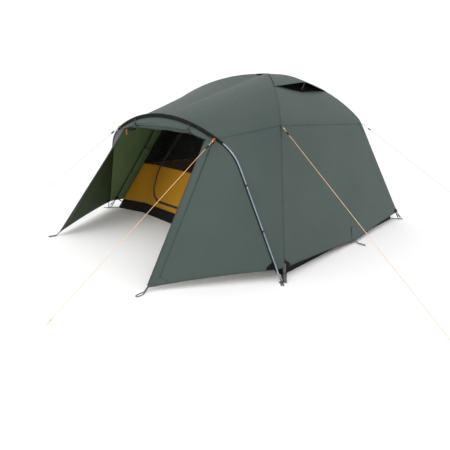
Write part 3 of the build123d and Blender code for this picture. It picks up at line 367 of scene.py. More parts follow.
class Finish(Enum):
    """Every surface finish on the tent."""

    FLY_OUT = Cloth("fly_outside", "#4C5853", "#475350", "#3A4440")
    FLY_IN = Cloth("fly_inside", "#3E5033", "#36462D", "#1D241A", roughness=0.6, sheen=0.0, specular=0.15)
    # fly_inside painted brighter: painted light shining through the cloth.
    FLY_LIT = Cloth("fly_inside_lit", "#6E875F", "#627A54", "#33402B", roughness=0.6, sheen=0.0, specular=0.15)
    MUSTARD = Cloth("inner_cloth", "#B5821F", "#A6761B", "#3A2A10", roughness=0.6, sheen=0.0, specular=0.15)
    TUB = Cloth("bathtub", "#121412", "#0E100E", "#232523", roughness=0.6, sheen=0.0, specular=0.15)
    SLEEVE = Cloth("sleeve", "#101310", "#0B0D0B", "#232723", roughness=0.7, sheen=0.0, specular=0.12)
    NET = Net("netting", "#121210")
    WEBBING = Webbing("webbing", "#0E100E", "#1E201E")
    ORANGE_TAPE = Webbing("pull_tape", "#C9561A", "#E07B3A")
    ZIP = Webbing("zip_tape", "#0D0F0D", "#1A1D1A")
    PLASTIC = Moulded("moulded_black", "#0D0E0D", "#1F201F")
    POLE = Alloy("anodised_pole", "#A5AFBE", "#7C8797")
    # Main poles: anodised aluminium coloured near black, which is painted shade and a painted reflection of the
    # tent's dark inside.
    DARK_POLE = Alloy("pole_painted_shade", "#2A2E2C", "#191C1A", 0.5)
    FERRULE = Alloy("pole_tip", "#6C7075", "#4E5257", 0.4)
    METAL = Alloy("burnished_metal", "#3E4042", "#28292B", 0.45)
    ELASTIC = Braid("elastic", "#101110", "#262826")
    GUY = Braid("guy_cord", "#F07A18", "#C4560A")
    FLOOR = Backdrop("studio_floor", "#FFFFFF")

    def material(self) -> bpy.types.Material:
        """The finish's material, made once."""
        found = bpy.data.materials.get(self.value.name)
        return found or self.value.build()


# ------------------------------------------------------------------ pole curves and the plan


class Bow:
    """A bent pole in its own plane: straight legs, a tight bend at each shoulder, one roof arc."""

    def __init__(
        self, foot: tuple, across: tuple, up: tuple, span: float, height: float, leg_angle: float,
        roof_angle: float, bend_radius: float,
    ):
        """Solve the leg and the roof's radius from the pole's outer sizes.

        Args:
            foot: lower end of the pole's centre line.
            across: level direction to the other foot.
            up: the plane's other direction.
            span: from the foot to the middle, along across.
            height: from the foot to the top, along up.
            leg_angle: of the leg, in degrees.
            roof_angle: heading where the roof arc starts, in degrees.
            bend_radius: of the shoulder bend.
        """
        a, b = math.radians(leg_angle), math.radians(roof_angle)
        run = span - bend_radius * (math.sin(a) - math.sin(b))
        rise = height - bend_radius * (math.cos(b) - math.cos(a))
        det = math.cos(a) * (1 - math.cos(b)) - math.sin(a) * math.sin(b)
        self.leg = (run * (1 - math.cos(b)) - rise * math.sin(b)) / det
        self.roof_radius = (math.cos(a) * rise - math.sin(a) * run) / det
        self.foot, self.across, self.up = Vector(foot), Vector(across), Vector(up)
        self.turn = a
        bend, roof = bend_radius * (a - b), 2 * self.roof_radius * b
        self.pieces = [(self.leg, None), (bend, bend_radius), (roof, self.roof_radius), (bend, bend_radius)]
        self.pieces.append((self.leg, None))
        self.length = sum(length for length, _ in self.pieces)
        self.half = self.length / 2

    def state(self, s: float) -> tuple:
        """Place in the plane, as two lengths, and the heading, at the distance s along the pole."""
        r, h, heading = 0.0, 0.0, self.turn
        for i, (length, radius) in enumerate(self.pieces):
            last = i == len(self.pieces) - 1
            step = s if (s <= length or last) else length
            if radius is None:
                r, h = r + step * math.cos(heading), h + step * math.sin(heading)
            else:
                after = heading - step / radius
                r += radius * (math.sin(heading) - math.sin(after))
                h += radius * (math.cos(after) - math.cos(heading))
                heading = after
            s -= step
            if s <= 1e-9:
                break
        return r, h, heading

    def point(self, s: float, offset: float = 0.0) -> Vector:
        """Point at the distance s, moved outward by offset."""
        r, h, heading = self.state(s)
        r, h = r - offset * math.sin(heading), h + offset * math.cos(heading)
        return self.foot + self.across * r + self.up * h

    def tangent(self, s: float) -> Vector:
        """Unit direction of the pole at the distance s."""
        _, _, heading = self.state(s)
        return self.across * math.cos(heading) + self.up * math.sin(heading)

    def station_at_x(self, x: float, offset: float = 0.0) -> float:
        """Distance along the first half where the pole is x from the middle."""
        low, high = 0.0, self.half
        for _ in range(40):
            middle = (low + high) / 2
            if abs(self.point(middle, offset).x) > x:
                low = middle
            else:
                high = middle
        return low

    def station_at_height(self, z: float, offset: float = 0.0) -> float:
        """Distance along the straight leg at the height z."""
        return (z - self.point(0, offset).z) / self.tangent(0).z


@dataclass(frozen=True)
class Plan:
    """The tent's leading sizes, in metres and degrees."""

    foot_x: float = 1.150
    foot_y: float = 1.080
    height: float = 1.39825
    arch_foot_y: float = 1.115
    arch_height: float = 1.031
    arch_lean: float = 7.0
    pin: float = 0.0032
    fly: float = 0.0126
    arch_fabric: float = 0.0092
    hem: float = 0.080
    mid_hem: float = 0.020
    guy_x: float = 0.600
    sleeve_x: float = 0.663
    door_top_x: float = 0.520
    door_top_drop: float = 0.016
    porch_corner: tuple = (0.655, -1.838, 0.026)
    vent_edge: float = 0.612
    vent_lip: float = 0.150
    vent_dip: float = 0.034
    vent_rise: float = 0.058
    vent_overhang: float = 0.024
    vent_back: float = 0.150
    inner_gap: float = 0.070
    tub: float = 0.100
    lower_wall: float = 0.500
    sag: float = 0.100
    fold_x: float = 0.780

    def main(self, side: int, end: int) -> Bow:
        """Centre line of the main pole that starts at one corner."""
        diagonal = math.hypot(self.foot_x, self.foot_y)
        foot = (side * self.foot_x, end * self.foot_y, self.pin)
        across = (-side * self.foot_x / diagonal, -end * self.foot_y / diagonal, 0)
        return Bow(foot, across, (0, 0, 1), diagonal, self.height - self.pin, 59.5, 41.5, 0.250)

    def arch(self, side: int) -> Bow:
        """Centre line of the arch pole, from one side."""
        lean = math.radians(self.arch_lean)
        foot = (side * self.foot_x, -self.arch_foot_y, self.pin)
        up = (0, -math.sin(lean), math.cos(lean))
        return Bow(foot, (-side, 0, 0), up, self.foot_x, self.arch_height, 65.0, 27.0, 0.300)


PLAN = Plan()
RIDGE = {(side, end): PLAN.main(side, end) for side in (RIGHT, LEFT) for end in (FRONT, REAR)}
ARCH = {side: PLAN.arch(side) for side in (RIGHT, LEFT)}
SHOULDER = RIDGE[RIGHT, FRONT].leg
CREST = RIDGE[RIGHT, FRONT].half
HEM = RIDGE[RIGHT, FRONT].station_at_height(PLAN.hem, PLAN.fly)
ARCH_HEM = ARCH[RIGHT].station_at_height(PLAN.hem, -PLAN.arch_fabric)
ARCH_GUY = ARCH[RIGHT].station_at_x(PLAN.guy_x)


def ridge(side: int, end: int, s: float, offset: float = PLAN.fly) -> Vector:
    """Point over a main pole, on the flysheet unless another offset is given."""
    return RIDGE[side, end].point(s, offset)


# ------------------------------------------------------------------ cloth pieces


@dataclass
class Sheet:
    """One cut panel of cloth or net, made as a grid.

    Args:
        name: piece name.
        nodes: names of the frame's nodes that it stands for.
        point: the panel's surface; u goes up it and v across it, both 0 to 1.
        finishes: outside and inside.
        slot: not used.
        outward: roughly which way the outside faces.
        relax: how far the middle is pulled toward a soap film between its edges, 0 to 1.
        relief: metres outward at (u, v).
        sewn: which edges carry a seam, of b, t, l and r.
        keep: tells from a face's centre whether the face stays.
        declare: not used.
    """

    name: str
    nodes: tuple
    point: Surface
    finishes: tuple
    slot: str
    outward: tuple
    rows: int = 48
    columns: int = 48
    thickness: float = 0.0009
    relax: float = 0.0
    relief: Callable[[float, float], float] | None = None
    sewn: str = "btlr"
    held: str = "stretched"
    body: str = BODY
    keep: Callable[[Vector], bool] | None = None
    declare: bool = True

    def grid(self) -> np.ndarray:
        """Points of the panel, row by row, after its film and its relief."""
        us, vs = np.linspace(0, 1, self.rows + 1), np.linspace(0, 1, self.columns + 1)
        points = np.array([[tuple(self.point(u, v)) for v in vs] for u in us])
        if self.relax > 0:
            film = points.copy()
            for _ in range(600):
                middle = (film[:-2, 1:-1] + film[2:, 1:-1] + film[1:-1, :-2] + film[1:-1, 2:]) / 4
                film[1:-1, 1:-1] = middle
            points = points + (film - points) * self.relax
        if self.relief is not None:
            along, across = np.gradient(points, axis=0), np.gradient(points, axis=1)
            normals = np.cross(across, along)
            size = np.linalg.norm(normals, axis=2, keepdims=True)
            normals = normals / np.maximum(size, 1e-12)
            facing = np.sign((normals * np.array(self.outward)).sum(axis=2, keepdims=True))
            lift = np.array([[self.relief(u, v) for v in vs] for u in us])[..., None]
            points = points + normals * facing * lift
        return points

    def quads(self, flat: np.ndarray) -> np.ndarray:
        """Faces of the grid, turned outward, without those that keep refuses."""
        index = np.arange(len(flat)).reshape(self.rows + 1, self.columns + 1)
        a, b, c, d = index[:-1, :-1], index[:-1, 1:], index[1:, 1:], index[1:, :-1]
        quads = np.stack([a, b, c, d], axis=-1).reshape(-1, 4)
        if (face_normals(flat, quads) @ np.array(self.outward)).sum() < 0:
            quads = quads[:, ::-1]
        if self.keep is not None:
            quads = quads[[self.keep(Vector(c)) for c in flat[quads].mean(axis=1)]]
        return quads

    def build(self) -> bpy.types.Object:
        """Make the piece, with its seams and thickness."""
        points = self.grid()
        rows, columns = self.rows, self.columns
        across = np.linalg.norm(np.diff(points, axis=1), axis=2)
        along = np.linalg.norm(np.diff(points, axis=0), axis=2)
        x = np.concatenate([np.zeros((rows + 1, 1)), np.cumsum(across, axis=1)], axis=1)
        y = np.concatenate([np.zeros((1, columns + 1)), np.cumsum(along, axis=0)], axis=0)
        width, height = x[:, -1:], y[-1:, :]
        far = np.full((rows + 1, columns + 1), 1.0)
        sides = {"l": x, "r": width - x, "b": y, "t": height - y}
        for key in self.sewn:
            far = np.minimum(far, sides[key])
        flat = points.reshape(-1, 3)
        quads = self.quads(flat)
        u = (x - width / 2).reshape(-1)
        v = np.broadcast_to(y[:, columns // 2 : columns // 2 + 1], x.shape).reshape(-1)
        faces = [tuple(int(i) for i in quad) for quad in quads]
        piece = link_mesh(
            self.name, flat, faces, self.finishes, self.body, np.stack([u, v], axis=1), self.nodes
        )
        mark_seams(piece, far.reshape(-1))
        if self.keep is not None:
            drop_loose(piece.data)
        body = piece.modifiers.new("thickness", "SOLIDIFY")
        body.thickness, body.offset, body.use_even_offset = self.thickness, -1.0, False
        body.material_offset = len(self.finishes) - 1
        return piece


def face_normals(points: np.ndarray, quads: np.ndarray) -> np.ndarray:
    """A vector out of each quad, twice as long as the quad's area."""
    one, two = points[quads[:, 2]] - points[quads[:, 0]], points[quads[:, 3]] - points[quads[:, 1]]
    return np.cross(one, two)


def mark_seams(piece: bpy.types.Object, distances) -> None:
    """Store each point's distance to the nearest sewn edge, for the cloth finish."""
    seam = piece.data.attributes.new("seam", "FLOAT", "POINT")
    seam.data.foreach_set("value", np.array(distances, dtype=np.float32))


def drop_loose(mesh: bpy.types.Mesh) -> None:
    """Remove vertices that no face uses."""
    shape = bmesh.new()
    shape.from_mesh(mesh)
    bmesh.ops.delete(shape, geom=[v for v in shape.verts if not v.link_faces], context="VERTS")
    shape.to_mesh(mesh)
    shape.free()


def link_mesh(
    name: str, points, faces: list, finishes: tuple, body: str = BODY, uv=None, nodes: tuple = ()
) -> bpy.types.Object:
    """A new smooth mesh piece from points and faces.

    Args:
        finishes: the outside's, and the inside's where it differs.
        body: the body that it rides on.
        uv: one (x, y) in metres for each point.
        nodes: names of the frame's nodes that it stands for.

    Returns:
        The object.
    """
    mesh = bpy.data.meshes.new(name)
    mesh.from_pydata([tuple(p) for p in points], [], faces)
    mesh.update()
    layer = mesh.uv_layers.new(name="cloth")
    corners = np.empty(len(mesh.loops), dtype=np.int32)
    mesh.loops.foreach_get("vertex_index", corners)
    layer.data.foreach_set("uv", np.array(uv, dtype=float)[corners].reshape(-1))
    mesh.polygons.foreach_set("use_smooth", [True] * len(mesh.polygons))
    for finish in finishes:
        mesh.materials.append(finish.material())
    piece = bpy.data.objects.new(name, mesh)
    bpy.context.scene.collection.objects.link(piece)
    if nodes:
        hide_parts(*nodes)
    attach(piece, body)
    return piece


class Shape:
    """Collects points and faces of several small forms into one mesh."""

    def __init__(self):
        """Start empty."""
        self.points, self.faces, self.uv = [], [], []

    def grid(self, rows: list, uvs: list, closed: bool = False, caps: bool = False) -> None:
        """A skin over rows of points; closed joins each row's ends."""
        base, count = len(self.points), len(rows[0])
        for row, row_uv in zip(rows, uvs):
            self.points += row
            self.uv += row_uv
        reach = count if closed else count - 1
        for i in range(len(rows) - 1):
            for j in range(reach):
                k = (j + 1) % count
                low, high = base + i * count, base + (i + 1) * count
                self.faces.append((low + j, low + k, high + k, high + j))
        if caps:
            self.faces.append(tuple(base + j for j in reversed(range(count))))
            top = base + (len(rows) - 1) * count
            self.faces.append(tuple(top + j for j in range(count)))

    def tube(
        self, path: list, radius, sides: int = 10, closed: bool = False, flatten: float = 1.0
    ) -> None:
        """A round tube along a path.

        Args:
            path: points of its centre line.
            radius: a number, or a function of the distance along the path.
            sides: faces round it.
            closed: whether the path is a ring.
            flatten: the section's one radius as a share of the other.
        """
        points = [Vector(p) for p in path]
        count = len(points)
        travelled, rows, uvs = 0.0, [], []
        normal = None
        for i, p in enumerate(points):
            ahead = points[(i + 1) % count] if (closed or i + 1 < count) else points[i]
            behind = points[i - 1] if (closed or i > 0) else points[i]
            tangent = (ahead - behind).normalized()
            if normal is None:
                seed = Vector((0, 0, 1)) if abs(tangent.z) < 0.9 else Vector((1, 0, 0))
                normal = (seed - tangent * seed.dot(tangent)).normalized()
            else:
                normal = (normal - tangent * normal.dot(tangent)).normalized()
            side = tangent.cross(normal)
            if i > 0:
                travelled += (p - points[i - 1]).length
            r = radius(travelled) if callable(radius) else radius
            angles = turns(sides)
            ring = [normal * (math.cos(a) * r * flatten) + side * (math.sin(a) * r) for a in angles]
            rows.append([p + edge for edge in ring])
            uvs.append([(a * r, travelled) for a in angles])
        if closed:
            rows.append(rows[0])
            uvs.append([(u, travelled) for u, _ in uvs[0]])
        self.grid(rows, uvs, closed=True, caps=not closed)

    def strap(self, path: list, width: float, thickness: float, across) -> None:
        """A flat strap with thin edges along a path.

        Args:
            across: the direction of its width, one vector or a list with one for each point.
        """
        points = [Vector(p) for p in path]
        travelled, rows, uvs = 0.0, [], []
        for i, p in enumerate(points):
            ahead, behind = points[min(i + 1, len(points) - 1)], points[max(i - 1, 0)]
            tangent = (ahead - behind).normalized()
            wide = Vector(across[i] if isinstance(across, list) else across)
            wide = (wide - tangent * wide.dot(tangent)).normalized()
            face = tangent.cross(wide)
            if i > 0:
                travelled += (p - points[i - 1]).length
            w, t = width / 2, thickness / 2
            ring = [(-w, -t * 0.5), (-w * 0.96, -t), (w * 0.96, -t), (w, -t * 0.5)]
            ring += [(w, t * 0.5), (w * 0.96, t), (-w * 0.96, t), (-w, t * 0.5)]
            rows.append([p + wide * a + face * b for a, b in ring])
            uvs.append([(a, travelled) for a, _ in ring])
        self.grid(rows, uvs, closed=True, caps=True)

    def piece(
        self, name: str, finish: Finish, slot: str, body: str = BODY, nodes: tuple = ()
    ) -> bpy.types.Object:
        """Make one piece of all that was collected."""
        log.info("%s %d faces", name, len(self.faces))
        return link_mesh(name, self.points, self.faces, (finish,), body, self.uv, nodes)


def curve_through(points: list, steps: int = 8) -> list:
    """Points on a smooth Catmull-Rom curve through the given ones."""
    given = [Vector(p) for p in points]
    padded = [given[0] * 2 - given[1], *given, given[-1] * 2 - given[-2]]
    out = []
    for i in range(len(given) - 1):
        a, b, c, d = padded[i : i + 4]
        for t in (k / steps for k in range(steps)):
            bend = (2 * a - 5 * b + 4 * c - d) * t * t
            out.append(0.5 * (2 * b + (c - a) * t + bend + (3 * b - a - 3 * c + d) * t ** 3))
    return out + [given[-1]]


# ------------------------------------------------------------------ camera, light and floor


@dataclass(frozen=True)
class Studio:
    """Pale floor, soft light and the camera; angles are in radians."""

    place: tuple = (2.33, -2.94, 1.119)
    yaw: float = 0.756
    pitch: float = 0.328
    roll: float = 0.040
    lens: float = 28.39
    sensor: float = 36.0
    floor: float = 60.0
    floor_drop: float = 0.0006
    sky: float = 1.06
    aim: tuple = (0, 0, 0.6)
    lamps: tuple = (
        ("key", (3.6, -3.4, 5.4), 4.0, 40.0),
        ("fill", (-1.0, -5.5, 1.8), 3.0, 30.0),
        ("through_cloth", (0.1, 0.3, 1.05), 0.6, 1.6),
    )

    def camera(self) -> None:
        """Add the camera from its place and its three angles."""
        level = Vector((math.cos(self.yaw), math.sin(self.yaw), 0))
        ahead = Vector((-math.sin(self.yaw), math.cos(self.yaw), 0))
        forward = ahead * math.cos(self.pitch) - Vector((0, 0, math.sin(self.pitch)))
        upright = level.cross(forward)
        across = level * math.cos(self.roll) + upright * math.sin(self.roll)
        up = upright * math.cos(self.roll) - level * math.sin(self.roll)
        data = bpy.data.cameras.new("camera")
        data.lens, data.sensor_width = self.lens, self.sensor
        data.clip_start, data.clip_end = 0.02, 200.0
        camera = bpy.data.objects.new("camera", data)
        bpy.context.scene.collection.objects.link(camera)
        turn = Matrix((across, up, -forward)).transposed()
        camera.matrix_world = Matrix.Translation(self.place) @ turn.to_4x4()
        bpy.context.scene.camera = camera

    def light(self, name: str, place: tuple, size: float, power: float) -> None:
        """Add a round lamp that faces the tent, with its size in metres and its power in watts."""
        data = bpy.data.lights.new(name, "AREA")
        data.shape, data.size, data.energy = "DISK", size, power
        lamp = bpy.data.objects.new(name, data)
        bpy.context.scene.collection.objects.link(lamp)
        lamp.location = place
        lamp.rotation_mode = "QUATERNION"
        lamp.rotation_quaternion = (Vector(self.aim) - Vector(place)).to_track_quat("-Z", "Y")

    def build(self) -> None:
        """Add the camera, the floor, the pale surroundings and the lamps."""
        self.camera()
        bpy.ops.mesh.primitive_plane_add(size=self.floor, location=(0, 0, -self.floor_drop))
        floor = bpy.context.object
        floor.name = "studio_floor"
        floor.data.materials.append(Finish.FLOOR.material())
        world = bpy.data.worlds.new("studio")
        bpy.context.scene.world = world
        bpy.context.scene.view_settings.view_transform = "Standard"
        world.use_nodes = True
        backing = world.node_tree.nodes["Background"]
        backing.inputs[0].default_value = linear("#FFFFFF")
        backing.inputs[1].default_value = self.sky
        for lamp in self.lamps:
            self.light(*lamp)


# ------------------------------------------------------------------ guy lines


@dataclass(frozen=True)
class GuyLine:
    """A taut line from a loop on the flysheet to the ground.

    Args:
        name: which of the four it is.
        start: the knot at the tent.
        end: the middle of the loop at the ground.
        length: the straight cord between them.
        cord: its radius.
        turn: radius of the cord's turns in a knot.
        knot_pitch: from one turn of a knot to the next.
        loop: half length and half width of the loop at the ground.
    """

    name: str
    start: tuple
    end: tuple
    length: float
    cord: float = 0.0015
    turn: float = 0.0026
    knot_pitch: float = 0.0032
    loop: tuple = (0.0115, 0.008)

    def build(self) -> None:
        start, end = Vector(self.start), Vector(self.end)
        along = (end - start).normalized()
        stop = start + along * self.length
        data = bpy.data.curves.new(f"guy_cord_{self.name}", "CURVE")
        data.dimensions, data.bevel_depth, data.bevel_resolution = "3D", self.cord, 4
        data.resolution_u = 24
        spline = data.splines.new("NURBS")
        spline.points.add(2)
        for point, place in zip(spline.points, (start, (start + stop) / 2, stop)):
            point.co = (*place, 1.0)
        spline.order_u, spline.use_endpoint_u = 3, True
        data.materials.append(Finish.GUY.material())
        cord = bpy.data.objects.new(f"guy_cord_{self.name}", data)
        bpy.context.scene.collection.objects.link(cord)
        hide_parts(f"guy_line_{self.name}")
        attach(cord, BODY)
        knots = self.knots(start, end, along)
        log.info("guy_cord_%s %.3f m", self.name, self.length)

    def knots(self, start: Vector, end: Vector, along: Vector) -> bpy.types.Object:
        """The knot at each end, its loose tail, and the loop at the ground."""
        shape = Shape()
        across = Vector((0, 0, 1)).cross(along).normalized()
        face = along.cross(across)
        for centre, way in ((start, -1), (end - along * 0.012, 1)):
            for k in range(3):
                middle = centre - along * way * (k * self.knot_pitch)
                ring = []
                for a in turns(18):
                    wound = across * (math.cos(a) * self.turn) + face * (math.sin(a) * self.turn)
                    ring.append(middle + wound + along * math.sin(a + k) * 0.0008)
                shape.tube(ring, 0.0014, sides=8, closed=True)
            tail = [centre + across * 0.002, centre - along * way * 0.006 + across * 0.007]
            tail.append(centre - along * way * 0.014 + across * 0.009)
            shape.tube(curve_through(tail, 5), 0.0013, sides=8)
        reach, half = self.loop
        loop = [end + along * (math.cos(a) * reach) + across * (math.sin(a) * half) for a in turns(36)]
        shape.tube(loop, 0.0014, sides=8, closed=True)
        return shape.piece(f"guy_knots_{self.name}", Finish.GUY, "guy_cord")


GUYS = (
    GuyLine("arch_right", (0.60010, -1.25469, 0.88644), (0.606, -2.415, 0.0135), 1.44003),
    GuyLine("arch_left", (-0.60294, -1.25445, 0.88643), (-0.780, -2.400, 0.0135), 1.43908),
    GuyLine("side_front", (0.76521, -0.69937, 0.97181), (2.150, -1.030, 0.0135), 1.70419),
    GuyLine("side_rear", (0.76405, 0.70303, 0.97194), (2.080, 1.300, 0.0135), 1.72199),
)


# ------------------------------------------------------------------ flysheet

# Most fly pieces show their inside painted brighter, which is painted light through the cloth; the porch panels
# show fly_inside.
FLY = (Finish.FLY_OUT, Finish.FLY_LIT)
PANEL = (Finish.FLY_OUT, Finish.FLY_IN)
VENT_S = CREST - PLAN.vent_edge
LIP_S = VENT_S - PLAN.vent_lip
BACK_S = CREST - PLAN.vent_back
CREST_GAP = 0.004
CROWN_HOLE = 0.003
SEWN_LIFT = 0.0012
UNDER_LIFT = -0.0004
ZIP_PITCH = 0.0022
TOGGLE_X = 0.34
ROLL_Z = 0.919
ROLL_END_Z = 0.868
VALANCE_X = 0.588


def tension(u: float, v: float, anchors: tuple, width: float, height: float) -> float:
    """Faint folds that run out from points where the cloth is pulled.

    Args:
        anchors: (u, v, amplitude in metres) of each point.
        width: of the panel in metres.
        height: of the panel in metres.
    """
    total = 0.0
    for anchor_u, anchor_v, amount in anchors:
        dx, dy = (v - anchor_v) * width, (u - anchor_u) * height
        reach = math.hypot(dx, dy)
        turn = math.atan2(dy, dx)
        fade = math.exp(-reach / 0.16) * smooth(reach / 0.05)
        total += amount * math.cos(turn * 9 + 1.3 * anchor_v) * fade
    return total


def border(u: float, v: float) -> float:
    """0 on the edges of a panel, 1 in its middle."""
    return math.sin(math.pi * min(1, max(0, u))) * math.sin(math.pi * min(1, max(0, v)))


def leg_point(side: int, end: int, z: float, offset: float = PLAN.fly) -> Vector:
    """Point over a main pole at the height z."""
    bow = RIDGE[side, end]
    return bow.point(bow.station_at_height(z, offset), offset)


def wall_point(first: tuple, second: tuple) -> Surface:
    """Surface of a lower wall between two main poles; its hem is highest in the middle."""
    top = ridge(RIGHT, FRONT, SHOULDER).z

    def point(u: float, v: float) -> Vector:
        t = abs(2 * v - 1)
        low = mix(PLAN.mid_hem, PLAN.hem, t) + 0.007 * math.sin(math.pi * t)
        z = mix(low, top, u)
        return mix(leg_point(*first, z), leg_point(*second, z), v)

    return point


def gore_point(first: tuple, second: tuple, s0: float, s1: float, offset: float = PLAN.fly) -> Surface:
    """Surface of a roof panel between two main poles, from s0 to s1 along them."""

    def point(u: float, v: float) -> Vector:
        s = mix(s0, s1, u)
        return mix(ridge(*first, s, offset), ridge(*second, s, offset), v)

    return point


def roof_out(s: float) -> Vector:
    """Direction out of the right roof panel at the distance s along its poles."""
    _, _, heading = RIDGE[RIGHT, FRONT].state(s)
    diagonal = math.hypot(PLAN.foot_x, PLAN.foot_y)
    return Vector((math.sin(heading) * PLAN.foot_x / diagonal, 0, math.cos(heading))).normalized()


def vent_share(v: float) -> float:
    """Height of the propped cloth across the vent: nearly straight from each corner to the strut."""
    t = abs(2 * v - 1)
    return 0.2 * math.cos(t * math.pi / 2) ** 2 + 0.8 * (1.02 - math.sqrt(t * t + 0.0025)) * (1 - 0.02 * t)


def vent_point(s0: float, s1: float, bump: Callable[[float], float], lift: float = 0.0) -> Surface:
    """Surface of the right roof between s0 and s1, raised by bump(s) across the vent."""
    def point(u: float, v: float) -> Vector:
        s = mix(s0, s1, u)
        flat = mix(ridge(RIGHT, FRONT, s), ridge(RIGHT, REAR, s), v)
        return flat + roof_out(s) * (bump(s) * vent_share(v)) + Vector((0, 0, lift))

    return point


def dip_at(s: float) -> float:
    """How far the vent's lower lip sinks at the distance s."""
    share = (s - LIP_S) / PLAN.vent_lip
    if share <= 0:
        return 0.0
    if s <= VENT_S:
        return -PLAN.vent_dip * share * share
    return -PLAN.vent_dip * max(0.0, BACK_S - s) / (BACK_S - VENT_S)


def rise_at(s: float) -> float:
    """How far the propped hood stands up at the distance s."""
    return PLAN.vent_rise * max(0.0, BACK_S - s) / (BACK_S - VENT_S)


def crown_height(x: float, y: float) -> float:
    """Height of the four roof panels near the crossing."""
    bow = RIDGE[RIGHT, FRONT]
    diagonal = math.hypot(PLAN.foot_x, PLAN.foot_y)
    r = max(abs(x) / PLAN.foot_x, abs(y) / PLAN.foot_y) * diagonal
    radius = bow.roof_radius + PLAN.fly
    return PLAN.height + PLAN.fly - (radius - math.sqrt(radius * radius - r * r))


def crown_disc(reach: float, lift: float, slope: float = 0.0) -> Surface:
    """A round patch over the crossing, with the smallest hole in its middle.

    Args:
        reach: from the hole to the edge.
        lift: above the flysheet's roof in the middle.
        slope: what is added to lift at the edge.
    """

    def point(u: float, v: float) -> Vector:
        a, r = v * 2 * math.pi, CROWN_HOLE + reach * u
        x, y = math.cos(a) * r, math.sin(a) * r
        return Vector((x, y, crown_height(x, y) + lift + slope * u))

    return point


@dataclass
class FlySheet:
    """The outer tent over the main poles, with its roof vent."""

    def walls(self) -> None:
        """Lower walls at both sides and the rear."""
        pull = ((0, 0.5, 0.0016), (0, 0, 0.0014), (0, 1, 0.0014), (1, 0, 0.001), (1, 1, 0.001))

        def relief(u: float, v: float) -> float:
            return -0.010 * border(u, v) + tension(u, v, pull, 2.1, 1.0)

        for name, first, second, out in (
            ("fly_side_wall_right", (RIGHT, FRONT), (RIGHT, REAR), (1, 0, 0.3)),
            ("fly_side_wall_left", (LEFT, FRONT), (LEFT, REAR), (-1, 0, 0.3)),
            ("fly_rear_wall", (RIGHT, REAR), (LEFT, REAR), (0, 1, 0.3)),
        ):
            point = wall_point(first, second)
            Sheet(f"{name}_cloth", (name,), point, FLY, "fly_fabric", out, 60, 100, relief=relief).build()

    def roof(self) -> None:
        """The four roof panels; the right one dips along the vent."""
        pull = ((0, 0, 0.001), (0, 1, 0.001))

        def relief(u: float, v: float) -> float:
            return tension(u, v, pull, 1.4, 0.6)

        for name, first, second, out in (
            ("fly_roof_left", (LEFT, FRONT), (LEFT, REAR), (-0.5, 0, 1)),
            ("fly_roof_rear", (RIGHT, REAR), (LEFT, REAR), (0, 0.5, 1)),
        ):
            point = gore_point(first, second, SHOULDER, CREST - CREST_GAP)
            Sheet(
                f"{name}_cloth", (name,), point, FLY, "fly_fabric", out, 60, 80, relax=0.22, relief=relief
            ).build()
        point = vent_point(SHOULDER, VENT_S, dip_at)
        Sheet(
            "fly_roof_right_cloth", ("fly_roof_right",), point, FLY, "fly_fabric", (0.5, 0, 1), 44, 96,
            relief=relief,
        ).build()
        Sheet(
            "fly_roof_front_cloth", ("fly_roof_front",), self.front, FLY, "fly_fabric", (0, -0.4, 1), 70, 120,
            relax=0.4,
        ).build()

    def front(self, u: float, v: float) -> Vector:
        """Surface of the front roof, from the arch back to the main poles."""
        side = RIGHT if v < 0.5 else LEFT
        t = 2 * v if v < 0.5 else 2 - 2 * v
        back = ridge(side, FRONT, mix(SHOULDER, CREST - CREST_GAP, t))
        bow = ARCH[side]
        return mix(bow.point(mix(ARCH_GUY, bow.half, t), -PLAN.arch_fabric), back, u)

    def vent(self) -> None:
        """The propped hood, which flattens when its strut folds, and the net under it."""
        s0 = VENT_S - PLAN.vent_overhang
        hood = Sheet(
            "vent_hood_cloth", ("vent_hood",), vent_point(s0, BACK_S + 0.012, rise_at, 0.0026), FLY,
            "fly_fabric", (0.4, 0, 1), 40, 90,
        ).build()
        apply_thickness(hood)
        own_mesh(hood)
        Sheet(
            "vent_net", ("vent_mesh",), vent_point(VENT_S, BACK_S, dip_at, -0.0006), (Finish.NET,), "mesh",
            (0.4, 0, 1), 36, 60, thickness=0.0005,
        ).build()

    def crown(self) -> None:
        """The roof behind the vent and the round patch over the crossing."""
        point = vent_point(BACK_S, CREST - CREST_GAP, lambda s: 0.0)
        Sheet("fly_roof_crown_cloth", ("fly_crown_patch",), point, FLY, "fly_fabric", (0.3, 0, 1), 12, 20).build()
        Sheet(
            "fly_crown_patch_cloth", (), crown_disc(0.075, 0.0022, -0.0008), (Finish.FLY_OUT,), "fly_fabric",
            (0, 0, 1), 10, 64, sewn="t", declare=False,
        ).build()

    def reinforcements(self) -> None:
        """Patches at the middle of each hem, at the shoulders and, in black, over the pole feet."""
        sewn, black = [], []
        for first, second, out in (
            ((RIGHT, FRONT), (RIGHT, REAR), (1, 0, 0.3)),
            ((LEFT, FRONT), (LEFT, REAR), (-1, 0, 0.3)),
            ((RIGHT, REAR), (LEFT, REAR), (0, 1, 0.3)),
        ):
            point = wall_point(first, second)

            def middle(a: float, b: float) -> tuple:
                return 0.002 + 0.115 * a, 0.5 + (b - 0.5) * (0.062 - 0.047 * a)

            sewn.append((point, out, middle, SEWN_LIFT))
            for end, way in ((0, 1), (1, -1)):

                def shoulder(a: float, b: float, end=end, way=way) -> tuple:
                    return 0.999 - 0.10 * a * (1 - 0.75 * b), end + way * (0.002 + 0.055 * b)

                def foot(a: float, b: float, end=end, way=way) -> tuple:
                    return 0.001 + 0.055 * a * (1 - 0.7 * b), end + way * (0.001 + 0.030 * b)

                sewn.append((point, out, shoulder, SEWN_LIFT))
                black.append((point, out, foot, UNDER_LIFT))
        patches("fly_patches", Finish.FLY_OUT, sewn)
        patches("fly_foot_patches", Finish.SLEEVE, black, 0.0042)

    def build(self) -> None:
        """Make every piece."""
        self.walls()
        self.roof()
        self.vent()
        self.crown()
        self.reinforcements()


